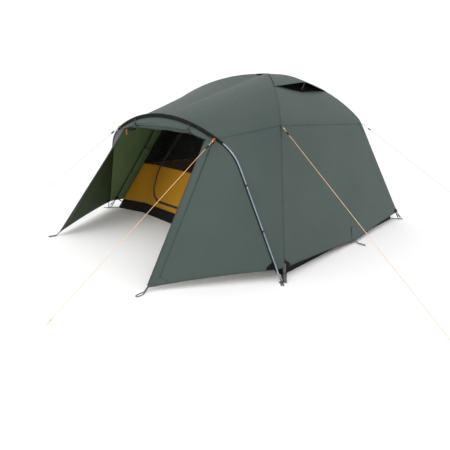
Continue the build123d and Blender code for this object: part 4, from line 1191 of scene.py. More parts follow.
def patches(
    name: str, finish: Finish, items: list, thickness: float = 0.0009
) -> None:
    """Reinforcements sewn on a panel, one mesh for all of them.

    Args:
        items: (point function, outward, corner function, lift) of each; the corner function turns
            (a, b) from 0 to 1 into the panel's (u, v).
    """
    points, faces, uvs, seams = [], [], [], []
    count = 14
    for point, outward, corner, lift in items:
        base = len(points)
        grid = []
        for i in range(count + 1):
            for j in range(count + 1):
                u, v = corner(i / count, j / count)
                here = point(u, v)
                du = point(min(1, u + 0.004), v) - point(max(0, u - 0.004), v)
                dv = point(u, min(1, v + 0.004)) - point(u, max(0, v - 0.004))
                normal = du.cross(dv).normalized()
                if normal.dot(Vector(outward)) < 0:
                    normal = -normal
                grid.append(here + normal * lift)
        width, height = (grid[count] - grid[0]).length, (grid[-1] - grid[count]).length
        for i in range(count + 1):
            for j in range(count + 1):
                a, b = i / count, j / count
                uvs.append((b * width, a * height))
                seams.append(min(a * height, (1 - a) * height, b * width, (1 - b) * width))
        points += grid
        for i in range(count):
            for j in range(count):
                k = base + i * (count + 1) + j
                quad = (k, k + 1, k + count + 2, k + count + 1)
                one = (points[quad[2]] - points[quad[0]]).cross(points[quad[3]] - points[quad[1]])
                faces.append(quad if one.dot(Vector(outward)) > 0 else quad[::-1])
    made = link_mesh(name, points, faces, (finish,), uv=uvs)
    mark_seams(made, seams)
    body = made.modifiers.new("thickness", "SOLIDIFY")
    body.thickness, body.offset = thickness, 0.0


def apply_thickness(piece: bpy.types.Object) -> None:
    """Turn a sheet's thickness into mesh, so that it can flatten."""
    bpy.ops.object.select_all(action="DESELECT")
    piece.select_set(True)
    bpy.context.view_layer.objects.active = piece
    for modifier in list(piece.modifiers):
        bpy.ops.object.modifier_apply(modifier=modifier.name)


# ------------------------------------------------------------------ porch


def door_line(side: int) -> tuple:
    """Bottom and top of a porch panel's free front edge."""
    x, y, z = PLAN.porch_corner
    bow = ARCH[side]
    top = bow.point(bow.station_at_x(PLAN.door_top_x), -PLAN.arch_fabric) - bow.up * PLAN.door_top_drop
    return Vector((side * x, y, z)), top


TILT = math.radians(PLAN.arch_lean)
ARCH_OUT = Vector((0, -math.cos(TILT), -math.sin(TILT)))


def porch_out(side: int) -> Vector:
    """Direction out of a porch panel."""
    return Vector((side * 0.75, -0.6, 0.3)).normalized()


@dataclass
class Porch:
    """Walls, door panels, zips, arch sleeve and the rolled-up door."""

    def panel_point(self, side: int) -> Surface:
        """Surface of the panel between the arch and the free front edge."""
        bottom, top = door_line(side)
        bow = ARCH[side]

        def point(u: float, v: float) -> Vector:
            back = bow.point(mix(ARCH_HEM, ARCH_GUY, u), -PLAN.arch_fabric)
            hem = 0.010 * math.sin(math.pi * v) * (1 - smooth(u / 0.15))
            return mix(back, mix(bottom, top, u), v) + Vector((0, 0, hem))

        return point

    def walls(self, side: int, name: str) -> None:
        """Wall between a main pole and the arch."""
        bow = ARCH[side]

        def point(u: float, v: float) -> Vector:
            front = bow.point(mix(ARCH_HEM, ARCH_GUY, u), -PLAN.arch_fabric)
            return mix(ridge(side, FRONT, mix(HEM, SHOULDER, u)), front, v)

        Sheet(
            f"fly_porch_wall_{name}_cloth", (f"fly_porch_wall_{name}",), point, FLY, "fly_fabric",
            (side, -0.1, 0.4), 60, 30, relax=0.15,
        ).build()

    def panel(self, side: int, name: str) -> None:
        """Front panel, the flap over its zip and, at the left, its turned-back edge."""
        pull = ((0, 1, 0.002), (0, 0, 0.0012), (1, 0.5, 0.001))
        point = self.panel_point(side)
        out = porch_out(side)

        def relief(u: float, v: float) -> float:
            return -0.012 * border(u, v) + tension(u, v, pull, 0.75, 1.1)

        Sheet(
            f"fly_porch_panel_{name}_cloth", (f"fly_porch_panel_{name}",), point, PANEL, "fly_fabric",
            tuple(out), 80, 60, relax=0.15, relief=relief,
        ).build()

        def flap(u: float, v: float) -> Vector:
            edge = point(u, 1.0)
            inner = point(u, 0.0)
            width = min(0.058, 0.55 * (inner - edge).length)
            toward = (inner - edge).normalized()
            lift = 0.0016 + 0.0012 * math.sin(math.pi * v)
            droop = 0.0085 * math.sin(math.pi * u) * v * 0.35
            return edge + toward * (width * v - 0.004) + out * lift - out * droop

        def turned(u: float, v: float) -> Vector:
            at = mix(0.005, 0.46, u)
            edge = point(at, 1.0)
            toward = (point(at, 0.0) - edge).normalized()
            width = 0.060 * math.sin(math.pi * min(1.0, u * 1.02) ** 0.7)
            return edge + toward * (width * v) - out * (0.0022 + 0.006 * math.sin(math.pi * v * 0.8))

        if side == LEFT:
            Sheet(
                "fly_turned_edge_cloth", (), turned, (Finish.FLY_OUT,), "fly_fabric", tuple(-out), 40, 8,
                sewn="r",
            ).build()
        Sheet(
            f"fly_zip_flap_{name}_cloth", (), flap, FLY, "fly_fabric", tuple(out), 80, 6, sewn="lr"
        ).build()

    def sleeve(self) -> None:
        """Black sleeve: round over the pole, then two layers sewn flat below it."""
        shape = Shape()
        bow = ARCH[RIGHT]
        start = bow.station_at_x(PLAN.sleeve_x)
        count = 150
        rows, uvs = [], []
        lean = bow.across.cross(bow.up).normalized()
        if lean.y > 0:
            lean = -lean
        for i in range(count + 1):
            s = mix(start, bow.length - start, i / count)
            centre = bow.point(s)
            radial = (bow.point(s, 0.01) - centre).normalized()
            t = i / count
            gather = 0.0005 * math.sin(t * 260) + 0.0006 * noise.noise(Vector((t * 60, 0, 3)))
            tail = 0.026 * smooth(min(t, 1 - t) / 0.03) + 0.004
            outline = [(-tail, 0.0008), (-tail * 0.6, 0.0012 + gather), (-0.011, 0.0022)]
            r = 0.0074 + gather
            arc = [(math.cos(a) * r, math.sin(a) * r) for a in map(math.radians, range(140, -141, -20))]
            outline += arc + [(-0.011, -0.0022), (-tail * 0.6, -0.0012 + gather), (-tail, -0.0008)]
            rows.append([centre + radial * h + lean * w for h, w in outline])
            uvs.append([(h + (0.05 if w < 0 else 0), s) for h, w in outline])
        shape.grid(rows, uvs, closed=True, caps=True)
        shape.piece("arch_sleeve_cloth", Finish.SLEEVE, "sleeve_fabric", nodes=("arch_sleeve",))

    def on_arch(self, x: float, z: float) -> Vector:
        """Point in the leaning plane of the arch pole."""
        bow = ARCH[RIGHT]
        share = (z - bow.foot.z) / bow.up.z
        return Vector((x, bow.foot.y + bow.up.y * share, z))

    def roll_line(self, x: float) -> float:
        """Height of the lower edge of the rolled-up door."""
        a = abs(x)
        if a < TOGGLE_X:
            return ROLL_Z + 0.003 * math.cos(a / TOGGLE_X * math.pi / 2) + 0.002 * math.sin(x * 9)
        return mix(ROLL_Z, ROLL_END_Z, (a - TOGGLE_X) / 0.25)

    def rolled_door(self) -> None:
        """The slack cloth over the rolled-up door, the roll, and the end that hangs out of it."""
        bow = ARCH[RIGHT]
        lean = ARCH_OUT

        def valance(u: float, v: float) -> Vector:
            x = mix(VALANCE_X, -VALANCE_X, v)
            high = bow.point(bow.station_at_x(abs(x)), -0.024).z
            low = min(self.roll_line(x), high - 0.004)
            z = mix(low, high, u)
            near = min(1.0, abs(abs(x) - TOGGLE_X) / 0.2)
            swell = 0.020 * math.sin(math.pi * min(1, u * 0.9 + 0.1)) * (0.55 + 0.45 * near)
            fold = 0.011 * math.exp(-((u - 0.16) / 0.07) ** 2) * smooth((0.40 - abs(x)) / 0.08)
            slant = math.exp(-((u - 0.30 - 0.55 * (x + 0.34)) / 0.07) ** 2)
            fold += 0.006 * slant * smooth((x + 0.37) / 0.05) * smooth((0.12 - x) / 0.3)
            ripple = 0.0012 * math.sin(v * 29 + 3 * u) * (1 - u)
            ripple += 0.003 * noise.noise(Vector((x * 5, u * 1.5, 1.7)))
            deep = swell - fold + ripple * smooth(u / 0.15) * smooth((1 - u) / 0.15) + 0.004 * (1 - u)
            return self.on_arch(x, z) + lean * (deep + 0.002)

        Sheet(
            "door_valance_cloth", ("fly_door_roll",), valance, FLY, "fly_fabric", tuple(lean), 26, 160,
            held="folded", sewn="tb",
        ).build()
        shape = Shape()
        path = []
        for i in range(81):
            x = mix(0.52, -0.50, i / 80)
            sway = 0.002 * math.sin(x * 23)
            path.append(self.on_arch(x, self.roll_line(x) - 0.002 + sway) + lean * (-0.004))

        def radius(d: float) -> float:
            t = d / 1.03
            pinch = sum(0.30 * math.exp(-(((t - band) / 0.018) ** 2)) for band in (0.175, 0.835))
            return (0.0125 - 0.006 * (2 * t - 1) ** 4) * (1 - pinch) + 0.0007 * math.sin(d * 190)

        shape.tube(path, radius, sides=20, flatten=0.86)
        roll = shape.piece("door_roll_cloth", Finish.FLY_OUT, "fly_fabric", nodes=("fly_door_roll",))
        pouch = Shape()
        line = []
        for x in np.linspace(-0.515, -0.385, 22):
            line.append(self.on_arch(x, 0.884 + 0.010 * math.cos((x + 0.45) * 18)) + lean * (-0.002))
        pouch.tube(line, lambda d: 0.004 + 0.017 * math.sin(math.pi * min(1, d / 0.131)) ** 0.6, sides=18)
        end = pouch.piece("door_roll_end_cloth", Finish.SLEEVE, "sleeve_fabric")

    def toggle_bands(self) -> None:
        """Elastic bands round the roll, passing behind the toggles, and each toggle's knot, which turns with it."""
        lean = ARCH_OUT
        bow = ARCH[RIGHT]
        shape = Shape()
        for side, name in ((RIGHT, "right"), (LEFT, "left")):
            x = side * TOGGLE_X
            low, high = (Vector(corner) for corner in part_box(f"toggle_{name}"))
            seat = (low + high) / 2
            top = bow.point(bow.station_at_x(TOGGLE_X), -0.012).z
            depth = (seat - self.on_arch(x, seat.z)).dot(lean) - 0.0095
            line = [(top, 0.004), (0.968, depth - 0.001), (0.946, depth), (0.926, depth), (0.910, 0.010)]
            line += [(0.9035, -0.002), (0.911, -0.019), (0.94, -0.0205), (top, -0.014)]
            path = [self.on_arch(x, z) + lean * w for z, w in line]
            shape.tube(curve_through(path, 6), 0.0021, sides=10)
            knot = Shape()
            for k in (-1, 0, 1):
                middle = seat + Vector((k * 0.0026, 0, 0))
                ring = [
                    middle + bow.up * (math.sin(a) * 0.0049) + lean * (math.cos(a) * 0.0049) for a in turns(20)
                ]
                knot.tube(ring, 0.0013, sides=8, closed=True)
            for way in (1, -1):
                tail = [seat + lean * 0.0058, seat + Vector((way * 0.008, 0, 0)) - bow.up * 0.008 + lean * 0.0085]
                tail.append(seat + Vector((way * 0.013, 0, 0)) - bow.up * 0.022 + lean * 0.0075)
                knot.tube(curve_through(tail, 5), 0.0016, sides=8)
            knot.piece(f"toggle_knot_{name}", Finish.ELASTIC, "elastic", f"toggle_{name}_body")
        shape.piece("toggle_bands", Finish.ELASTIC, "elastic", nodes=("toggle_loops",))

    def trims(self) -> None:
        """Black seam tape inside along the arch, corner patches, and the cords on the inside of the zip pulls."""
        tape = Shape()
        sewn, black = [], []
        for side, name in ((RIGHT, "right"), (LEFT, "left")):
            bow = ARCH[side]
            line = [bow.point(mix(ARCH_HEM, ARCH_GUY, k / 40), -PLAN.arch_fabric - 0.0022) for k in range(41)]
            tape.strap(line, 0.013, 0.0012, (0, 1, 0.1))
            point, out = self.panel_point(side), tuple(porch_out(side))

            def corner(a: float, b: float) -> tuple:
                return 0.002 + 0.075 * a * (0.35 + 0.65 * b), 0.998 - 0.13 * (1 - b)

            def tip(a: float, b: float) -> tuple:
                return 0.001 + 0.022 * a, 0.999 - 0.030 * (1 - b)

            def foot(a: float, b: float) -> tuple:
                return 0.001 + 0.060 * a * (1 - 0.7 * b), 0.001 + 0.075 * b

            sewn.append((point, out, corner, SEWN_LIFT))
            black.append((point, out, tip, UNDER_LIFT))
            black.append((point, out, foot, UNDER_LIFT))
            bottom, top = door_line(side)
            along = (top - bottom).normalized()
            slider = top - along * 0.026 + Vector((-side * 0.012, 0, 0))
            pull = Shape()
            drops = ((0.003, 0.0), (0.007, 0.012), (0.008, 0.052))
            hang = [slider - porch_out(side) * back - Vector((0, 0, drop)) for back, drop in drops]
            pull.strap(curve_through(hang, 6), 0.0095, 0.0022, (0.6, 0.8, 0))
            pull.piece(f"porch_pull_{name}", Finish.ORANGE_TAPE, "webbing", f"fly_slider_{name}_body")
        tape.piece("arch_seam_tape", Finish.SLEEVE, "sleeve_fabric")
        patches("porch_patches", Finish.FLY_OUT, sewn)
        patches("porch_foot_patches", Finish.SLEEVE, black, 0.0042)

    def zips(self) -> None:
        """Tape and coil down the free edge of both panels."""
        tape, coil = Shape(), Shape()
        for side in (RIGHT, LEFT):
            bottom, top = door_line(side)
            along = (top - bottom).normalized()
            opening = Vector((-side, 0, 0))
            normal = along.cross(opening).normalized()
            if normal.dot(porch_out(side)) < 0:
                normal = -normal
            toward = normal.cross(along)
            if toward.dot(opening) < 0:
                toward = -toward
            start, stop = bottom + along * 0.010, top - along * 0.004
            length = (stop - start).length
            path = [mix(start, stop, i / 60) + toward * 0.006 for i in range(61)]
            tape.strap(path, 0.0118, 0.0009, toward)
            ridges = [mix(start, stop, i / 1400) + toward * 0.012 for i in range(1401)]
            coil.tube(ridges, lambda d: 0.00155 + 0.00035 * math.cos(d * 2 * math.pi / ZIP_PITCH), sides=8)
        tape.piece("fly_zip_tape", Finish.ZIP, "zip_tape", nodes=("fly_door_zips",))
        coil.piece("fly_zip_coil", Finish.PLASTIC, "zip_tape")

    def build(self) -> None:
        """Make every piece."""
        for side, name in ((RIGHT, "right"), (LEFT, "left")):
            self.walls(side, name)
            self.panel(side, name)
        self.sleeve()
        self.rolled_door()
        self.toggle_bands()
        self.zips()
        self.trims()


# ------------------------------------------------------------------ inner tent


def inner_corner(side: int, end: int, z: float) -> Vector:
    """Upright edge of the inner tent, under a main pole."""
    return leg_point(side, end, z, -PLAN.inner_gap)


WALL_TOP = RIDGE[RIGHT, FRONT].point(SHOULDER, -PLAN.inner_gap).z
FRONT_TOP = inner_corner(RIGHT, FRONT, WALL_TOP)
FRONT_FOOT_Y = inner_corner(RIGHT, FRONT, 0).y + PLAN.sag
FRONT_UP = (Vector((0, FRONT_TOP.y, FRONT_TOP.z)) - Vector((0, FRONT_FOOT_Y, 0))).normalized()
FRONT_OUT = Vector((0, -FRONT_UP.z, FRONT_UP.y))


def front_fold(side: int, z: float) -> Vector:
    """Where the inner front wall turns from its flat middle to a corner facet."""
    low = Vector((side * PLAN.fold_x, FRONT_FOOT_Y, 0))
    high = Vector((side * FRONT_TOP.x, FRONT_TOP.y, FRONT_TOP.z))
    return mix(low, high, z / WALL_TOP)


FOLD_SHARE = 0.08
DOOR_SEAM = 0.008
DOOR_SNAP = 0.0075
HINGE_CLEAR = 0.03


def front_line(v: float, z: float) -> Vector:
    """Point at v along the inner front wall's three facets at the height z."""
    if v < FOLD_SHARE:
        return mix(inner_corner(LEFT, FRONT, z), front_fold(LEFT, z), v / FOLD_SHARE)
    if v > 1 - FOLD_SHARE:
        share = (v - 1 + FOLD_SHARE) / FOLD_SHARE
        return mix(front_fold(RIGHT, z), inner_corner(RIGHT, FRONT, z), share)
    return mix(front_fold(LEFT, z), front_fold(RIGHT, z), (v - FOLD_SHARE) / (1 - 2 * FOLD_SHARE))


@dataclass(frozen=True)
class DoorOutline:
    """Outline of the inner door in the front wall's plane: (x, distance up the slope), in metres."""

    hinge_x: float = 0.470
    sill: float = 0.160
    head: float = 0.900
    low_x: float = -0.690
    waist_x: float = -0.668
    waist: float = 0.480
    head_x: float = -0.430
    corner: float = 0.150
    waist_radius: float = 0.300
    head_radius: float = 0.150

    def corners(self, grow: float) -> list:
        """The outline's corners as (x, y, radius), grown outward by grow."""
        return [
            (self.hinge_x + grow, self.sill - grow, 0.0),
            (self.low_x - grow, self.sill - grow, self.corner + grow),
            (self.waist_x - grow, self.waist, self.waist_radius + grow),
            (self.head_x - grow, self.head + grow, self.head_radius + grow),
            (self.hinge_x + grow, self.head + grow, 0.0),
        ]

    def points(self, grow: float = 0.0, step: int = 14) -> list:
        """The closed outline, grown outward by grow, with its corners rounded."""
        given = self.corners(grow)
        out = []
        for i, (x, y, radius) in enumerate(given):
            here = Vector((x, y))
            if radius == 0:
                out.append(here)
                continue
            before = (Vector(given[i - 1][:2]) - here).normalized()
            after = (Vector(given[(i + 1) % len(given)][:2]) - here).normalized()
            half = math.acos(max(-1, min(1, before.dot(after)))) / 2
            reach = radius / math.tan(half)
            centre = here + (before + after).normalized() * (radius / math.sin(half))
            first, last = here + before * reach - centre, here + after * reach - centre
            turn = math.atan2(first.x * last.y - first.y * last.x, first.dot(last))
            start = math.atan2(first.y, first.x)
            for k in range(step + 1):
                a = start + turn * k / step
                out.append(centre + Vector((math.cos(a), math.sin(a))) * radius)
        return out

    def place(self, p, out: float = 0.0) -> Vector:
        """A point of the outline in space, moved out of the wall by out."""
        return Vector((p[0], FRONT_FOOT_Y, 0)) + FRONT_UP * p[1] + FRONT_OUT * out


DOOR = DoorOutline()
PIPING_RADIUS = 0.0037
PIPING_SET = 0.004
STITCH_PITCH = 0.006


class Outline:
    """Tests and closest points on a closed polygon."""

    def __init__(self, points: list):
        """Keep the sides of the polygon through the points."""
        self.start = np.array([tuple(p) for p in points])
        self.end = np.roll(self.start, -1, axis=0)

    def nearest(self, p) -> np.ndarray:
        """The outline's point closest to p."""
        run = self.end - self.start
        share = np.clip(((p - self.start) * run).sum(1) / (run * run).sum(1), 0, 1)
        spots = self.start + run * share[:, None]
        return spots[np.argmin(((spots - p) ** 2).sum(1))]

    def holds(self, p) -> bool:
        """Whether p lies inside the outline."""
        a, b = self.start, self.end
        crosses = (a[:, 1] > p[1]) != (b[:, 1] > p[1])
        with np.errstate(divide="ignore", invalid="ignore"):
            at = a[:, 0] + (p[1] - a[:, 1]) / (b[:, 1] - a[:, 1]) * (b[:, 0] - a[:, 0])
        return bool((crosses & (p[0] < at)).sum() % 2)


def in_front_plane(p) -> np.ndarray:
    """A point as (x, distance up the slope) of the inner front wall."""
    return np.array([p[0], (Vector(p) - Vector((0, FRONT_FOOT_Y, 0))).dot(FRONT_UP)])


@dataclass
class InnerTent:
    """Floor, bathtub, lower wall, net walls and roof, and the zipped door."""

    def front_point(self, z0: float, z1: float, snap: float) -> Surface:
        """The front wall between two heights, as three facets, with a row and column on the door's edge."""
        outline = Outline(DOOR.points(0.0))

        def point(u: float, v: float) -> Vector:
            p = front_line(v, mix(z0, z1, u))
            if snap > 0 and FOLD_SHARE <= v <= 1 - FOLD_SHARE and 0.001 < u < 0.999:
                flat = in_front_plane(p)
                near = outline.nearest(flat)
                if np.linalg.norm(near - flat) < snap:
                    return DOOR.place(near)
            return p

        return point

    def band(
        self, node: str, z0: float, z1: float, finish: tuple, slot: str, rows: int, thickness: float
    ) -> None:
        """A band of cloth round the inner tent between two heights, cut out at the door."""
        outline = Outline(DOOR.points(0.0))
        cut = z1 > DOOR.sill * FRONT_UP.z

        def outside(c) -> bool:
            return abs(c[0]) > PLAN.fold_x - 0.02 or not outline.holds(in_front_plane(c))

        def slack(u: float, v: float) -> float:
            return -0.006 * border(u, v) + 0.0012 * math.sin(v * 61) * math.sin(math.pi * u)

        Sheet(
            f"{node}_front", (node,), self.front_point(z0, z1, DOOR_SNAP if cut else 0), finish, slot,
            (0, -1, 0.2), max(rows, round((z1 - z0) / 0.013)), 144, thickness=thickness,
            keep=outside if cut else None, sewn="tb",
        ).build()
        for name, first, second, out in (
            ("right", (RIGHT, FRONT), (RIGHT, REAR), (1, 0, 0.2)),
            ("rear", (RIGHT, REAR), (LEFT, REAR), (0, 1, 0.2)),
            ("left", (LEFT, REAR), (LEFT, FRONT), (-1, 0, 0.2)),
        ):
            def point(u: float, v: float, first=first, second=second) -> Vector:
                z = mix(z0, z1, u)
                return mix(inner_corner(*first, z), inner_corner(*second, z), v)

            Sheet(
                f"{node}_{name}", (node,), point, finish, slot, out, rows, 60, thickness=thickness, relief=slack
            ).build()

    def leaf(self, name: str, node: str, low: float, high: float, finish: tuple, slot: str) -> None:
        """The part of the door leaf between two distances up the wall."""
        box = DOOR.points(-DOOR_SEAM)
        outline = Outline(box)
        x0, x1 = min(p[0] for p in box), max(p[0] for p in box)
        y0, y1 = max(low, min(p[1] for p in box)), min(high, max(p[1] for p in box))

        def point(u: float, v: float) -> Vector:
            p = np.array([mix(x0, x1, v), mix(y0, y1, u)])
            near = outline.nearest(p)
            inside = outline.holds(p)
            gap = float(np.linalg.norm(near - p))
            if gap < DOOR_SNAP and 0.001 < u < 0.999:
                p = near
            slack = 0.0 if not inside else 0.004 * math.sin(math.pi * u) * math.sin(math.pi * v)
            return DOOR.place(p, 0.0004 + slack)

        Sheet(
            name, (node,), point, finish, slot, tuple(FRONT_OUT), round((y1 - y0) / 0.012), 96,
            thickness=0.0006, keep=lambda c: outline.holds(in_front_plane(c)), sewn="tb",
            body="inner_door_body", held="hung",
        ).build()

    def zip_line(self, name: str, grow: float, body: str) -> None:
        """Coil and tape of one half of the door's zip, grown outward from the outline by grow."""
        path = self.without_hinge(DOOR.points(grow))
        dense = []
        for a, b in zip(path, path[1:]):
            steps = max(1, int((b - a).length / 0.0008))
            dense += [mix(a, b, k / steps) for k in range(steps)]
        coil = Shape()
        coil.tube(
            [DOOR.place(p, 0.0006) for p in dense],
            lambda d: 0.00125 + 0.0003 * math.cos(d * 2 * math.pi / ZIP_PITCH), sides=6,
        )
        coil.piece(f"{name}_coil", Finish.PLASTIC, "zip_tape", body, (name,))
        tape = Shape()
        line = self.without_hinge(DOOR.points(grow + (0.007 if grow >= 0 else -0.006)))
        wide = []
        spread = []
        for i, p in enumerate(line):
            ahead, behind = line[min(i + 1, len(line) - 1)], line[max(i - 1, 0)]
            t = (ahead - behind).normalized()
            side = Vector((t.y, -t.x))
            wide.append(DOOR.place(p, 0.0011 if grow >= 0 else 0.0016))
            spread.append(Vector((side.x, 0, 0)) + FRONT_UP * side.y)
        tape.strap(wide, 0.0055, 0.0006, spread)
        tape.piece(f"{name}_tape", Finish.ZIP, "zip_tape", body)

    @staticmethod
    def without_hinge(outline: list) -> list:
        """The outline's part with the zip, ended a little before the hinge."""
        x = DOOR.hinge_x - HINGE_CLEAR
        inner = [p for p in outline if p.x < x - 0.0001]
        return [Vector((x, outline[0].y)), *inner, Vector((x, outline[-1].y))]

    def hinge_piping(self) -> None:
        """Round piping sewn down the edge that the door leaf swings on."""
        low, high = DOOR.sill + PIPING_RADIUS, DOOR.head - PIPING_RADIUS
        shape = Shape()
        shape.tube(
            [DOOR.place((DOOR.hinge_x - PIPING_SET, mix(low, high, k / 60)), 0.0005) for k in range(61)],
            lambda d: PIPING_RADIUS * (0.97 + 0.03 * math.cos(d * 2 * math.pi / STITCH_PITCH)), sides=16,
        )
        shape.piece("inner_door_piping_cloth", Finish.MUSTARD, "inner_fabric", nodes=("inner_door_piping",))

    def roof(self) -> None:
        """Four net roof panels and the cloth patch at the crossing."""
        corners = ((RIGHT, FRONT), (RIGHT, REAR), (LEFT, REAR), (LEFT, FRONT), (RIGHT, FRONT))
        outs = ((0.5, 0, 1), (0, 0.5, 1), (-0.5, 0, 1), (0, -0.5, 1))
        for i, (first, second) in enumerate(zip(corners, corners[1:])):
            point = gore_point(first, second, SHOULDER, CREST - 0.06, -PLAN.inner_gap)
            Sheet(
                f"inner_roof_net_{i + 1}", ("inner_roof",), point, (Finish.NET,), "mesh", outs[i], 36, 48,
                thickness=0.0005, relax=0.15,
            ).build()

        Sheet(
            "inner_crown_cloth", ("inner_crown_patch",), crown_disc(0.077, 0.002 - PLAN.fly - PLAN.inner_gap),
            (Finish.MUSTARD,), "inner_fabric", (0, 0, 1), 10, 64, sewn="t",
        ).build()

    def floor(self) -> None:
        """Floor with three facets at the front, lying on the ground."""
        def point(u: float, v: float) -> Vector:
            rear = mix(inner_corner(LEFT, REAR, 0), inner_corner(RIGHT, REAR, 0), v)
            p = mix(front_line(v, 0), rear, u)
            p.z = 0.0013 + 0.0006 * noise.noise(Vector((p.x * 5, p.y * 5, 0)))
            return p

        Sheet(
            "inner_floor_cloth", ("inner_floor",), point, (Finish.TUB,), "bathtub_fabric", (0, 0, 1), 70, 75,
            thickness=0.0012,
        ).build()

    def build(self) -> None:
        """Make every piece."""
        self.floor()
        self.band("inner_bathtub_wall", 0.002, PLAN.tub, (Finish.TUB,), "bathtub_fabric", 8, 0.0007)
        self.band("inner_lower_wall", PLAN.tub, PLAN.lower_wall, (Finish.MUSTARD,), "inner_fabric", 24, 0.0006)
        self.band("inner_mesh_wall", PLAN.lower_wall, WALL_TOP, (Finish.NET,), "mesh", 24, 0.0004)
        split = PLAN.lower_wall / FRONT_UP.z
        self.leaf("inner_door_cloth", "inner_door_lower", 0.0, split, (Finish.MUSTARD,), "inner_fabric")
        self.leaf("inner_door_net", "inner_door_mesh", split, 2.0, (Finish.NET,), "mesh")
        self.hinge_piping()
        self.zip_line("inner_zip_wall", 0.0, BODY)
        self.zip_line("inner_zip_door", -DOOR_SEAM, "inner_door_body")
        self.roof()


# ------------------------------------------------------------------ straps, loops and hooks


HOOK_STATIONS = (0.120, 0.450, 0.760, 1.070, 1.420, 1.800)
LOOP_REACH = 0.0241
HOLE_CLEAR = 0.0102


def pole_foot(side: int, end: int) -> Vector:
    """Where a main pole's centre line meets the ground."""
    return Vector((side * PLAN.foot_x, end * PLAN.foot_y, 0))


def sideways(way: Vector) -> Vector:
    """Level direction square to a level one."""
    return Vector((-way.y, way.x, 0))


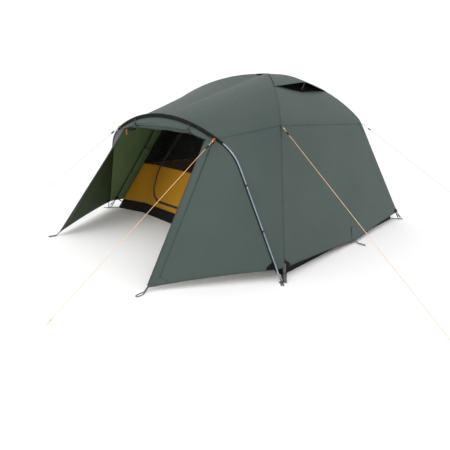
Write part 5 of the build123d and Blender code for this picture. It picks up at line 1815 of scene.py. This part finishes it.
@dataclass
class Fittings:
    """Webbing on the ground, at the corners, on the hooks and at the guy points."""

    def ground(self) -> None:
        """Straps from the inner floor's corners past the pole feet to the pegs, with their washers."""
        shape = Shape()
        for side in (RIGHT, LEFT):
            for end in (FRONT, REAR):
                out = pole_foot(side, end).normalized()
                corner = inner_corner(side, end, 0)
                feet = [pole_foot(side, end)]
                if end == FRONT:
                    feet.append(Vector((side * PLAN.foot_x, -PLAN.arch_foot_y, 0)))
                peg = feet[-1] + out * 0.038
                stops = [corner, *feet, peg]
                for a, b in zip(stops, stops[1:]):
                    way = (b - a).normalized()
                    near = 0.004 if a is corner else HOLE_CLEAR
                    start, stop = a + way * near, b - way * (HOLE_CLEAR if b is not peg else 0.009)
                    if (stop - start).dot(way) > 0.003:
                        wide = sideways(way)
                        lift = Vector((0, 0, 0.0011))
                        line = [mix(start, stop, k / 8) + lift for k in range(9)]
                        shape.strap(line, 0.022, 0.0015, wide)
                for centre, inner, outer in [(f, 0.0082, 0.016) for f in feet] + [(peg, 0.0062, 0.013)]:
                    rows, uvs = [], []
                    section = [(inner, 0.0004), (inner, 0.0019), ((inner + outer) / 2, 0.0021)]
                    section += [(outer - 0.001, 0.0019), (outer, 0.0012), (outer, 0.0004)]
                    for r, z in section:
                        ring = [(math.cos(a) * r, math.sin(a) * r) for a in turns(40)]
                        rows.append([Vector((centre.x + x, centre.y + y, z)) for x, y in ring])
                        uvs.append(ring)
                    shape.grid(rows, uvs, closed=True)
        shape.piece("ground_strap_webbing", Finish.WEBBING, "webbing", nodes=("ground_straps",))

    def corners(self) -> None:
        """Straps and loose tails between the flysheet's corners and the pole feet."""
        shape = Shape()
        for side in (RIGHT, LEFT):
            for end in (FRONT, REAR):
                out = pole_foot(side, end).normalized()
                across = sideways(out)
                top = leg_point(side, end, PLAN.hem - 0.001, 0.012)
                foot = pole_foot(side, end) + Vector((0, 0, 0.0032)) + out * 0.022
                start = top + Vector((0, 0, 0.030)) + out * -0.012
                path = [start, top + out * 0.0012, mix(top, foot, 0.5), foot]
                shape.strap(curve_through(path, 8), 0.0196, 0.0011, across)
                tail = [mix(top, foot, 0.42) + out * 0.004, mix(top, foot, 0.7) + out * 0.012]
                tail.append(foot + out * 0.018 + Vector((0, 0, 0.004)))
                shape.strap(curve_through(tail, 8), 0.0190, 0.0010, across)
        shape.piece("corner_strap_webbing", Finish.WEBBING, "webbing", nodes=("fly_corner_straps",))

    def peg_rings(self) -> None:
        """Cord rings for pegs along the hem, each tied on with webbing."""
        shape, ties = Shape(), Shape()
        x, y, z = PLAN.porch_corner
        side_x = leg_point(RIGHT, FRONT, PLAN.mid_hem).x
        rear_y = leg_point(RIGHT, REAR, PLAN.mid_hem).y
        for fabric, out in (
            (Vector((x, y, z)), Vector((0.1, -1, 0))),
            (Vector((-x, y, z)), Vector((-0.1, -1, 0))),
            (Vector((side_x, 0, PLAN.mid_hem)), Vector((1, 0, 0))),
            (Vector((-side_x, 0, PLAN.mid_hem)), Vector((-1, 0, 0))),
            (Vector((0, rear_y, PLAN.mid_hem)), Vector((0, 1, 0))),
        ):
            out = out.normalized()
            across = sideways(out)
            ground = Vector((fabric.x, fabric.y, 0)) + out * 0.062
            ring = []
            for a in turns(48):
                reach = math.cos(a) * 0.0185 + (0.0108 if math.cos(a) > 0 else -0.0108)
                lift = Vector((0, 0, 0.0022 + 0.0006 * math.sin(2 * a)))
                ring.append(ground + out * reach + across * (math.sin(a) * 0.0116) + lift)
            shape.tube(ring, 0.0027, sides=10, closed=True)
            near = ground - out * 0.029 + Vector((0, 0, 0.0030))
            path = [fabric - out * 0.030 + Vector((0, 0, 0.034)), fabric + out * 0.0015]
            path += [mix(fabric, near, 0.6) - Vector((0, 0, 0.001)), near]
            ties.strap(curve_through(path, 8), 0.0155, 0.0012, across)
        shape.piece("peg_ring_cord", Finish.ELASTIC, "webbing", nodes=("peg_rings",))
        ties.piece("peg_ring_webbing", Finish.WEBBING, "webbing")

    def hooks(self) -> None:
        """Short straps that hang the inner tent from its pole hooks."""
        shape = Shape()
        for (side, end), bow in RIDGE.items():
            for s in HOOK_STATIONS:
                near, far = bow.point(s, -0.0078), bow.point(s, -PLAN.inner_gap + 0.0012)
                path = [near, mix(near, far, 0.5), far]
                shape.strap(curve_through(path, 4), 0.0118, 0.0010, bow.tangent(s))
        shape.piece("hook_strap_webbing", Finish.WEBBING, "webbing", nodes=("inner_hook_straps",))

    def guy_loops(self) -> None:
        """Sewn loops that the guy lines start from, and two spare ones at the left."""
        black, orange = Shape(), Shape()
        starts = [(Vector(g.start), (Vector(g.end) - Vector(g.start)).normalized(), g.name) for g in GUYS]
        for side, end in ((LEFT, FRONT), (LEFT, REAR)):
            along = Vector((-0.75, 0.25 * end, -0.6)).normalized()
            start = ridge(side, end, SHOULDER, 0.012) + Vector((-0.006, 0, 0.003))
            starts.append((start + along * LOOP_REACH, along, "spare"))
        for knot, along, name in starts:
            start = knot - along * LOOP_REACH
            across = Vector((0, 0, 1)).cross(along).normalized()
            face = along.cross(across)
            path = []
            for k in range(25):
                a = math.pi * (k / 24) * 2 - math.pi
                path.append(start + along * (0.015 - 0.0135 * math.cos(a)) + face * (0.0052 * math.sin(a)))
            target = orange if name.startswith("arch") else black
            target.strap(path, 0.0098, 0.0013, across)
        black.piece("guy_loop_webbing", Finish.WEBBING, "webbing", nodes=("guy_loops",))
        orange.piece("guy_loop_webbing_arch", Finish.ORANGE_TAPE, "webbing")

    def build(self) -> None:
        """Make every piece."""
        self.ground()
        self.corners()
        self.peg_rings()
        self.hooks()
        self.guy_loops()


# ------------------------------------------------------------------ hard parts carried over from the frame

HARD = {
    Finish.POLE: ("arch_pole_segments", "pole_inserts"),
    # The main poles take the near-black painted shade and painted reflection.
    Finish.DARK_POLE: ("main_pole_a_segments", "main_pole_b_segments"),
    Finish.FERRULE: ("pole_tips",),
    Finish.PLASTIC: (
        "inner_hooks", "arch_clips", "fly_corner_buckles", "vent_strut", "vent_strut_hinge",
        "tensioner_arch_right", "tensioner_arch_left", "tensioner_side_front", "tensioner_side_rear",
        "toggle_right", "toggle_left",
    ),
    Finish.METAL: (
        "ground_eyelets", "fly_zip_slider_right", "fly_zip_slider_left", "inner_zip_slider_side",
        "inner_zip_slider_sill",
    ),
    Finish.ELASTIC: ("pole_shock_cords",),
}


def finish_hard_parts() -> None:
    """Give every part carried over from the frame its material."""
    for finish, names in HARD.items():
        for name in names:
            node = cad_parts[name]
            node.data.materials.clear()
            node.data.materials.append(finish.material())


def main() -> None:
    """Build the tent."""
    Studio().build()
    for guy in GUYS:
        guy.build()
    FlySheet().build()
    Porch().build()
    InnerTent().build()
    Fittings().build()
    finish_hard_parts()


if __name__ == "__main__":
    main()
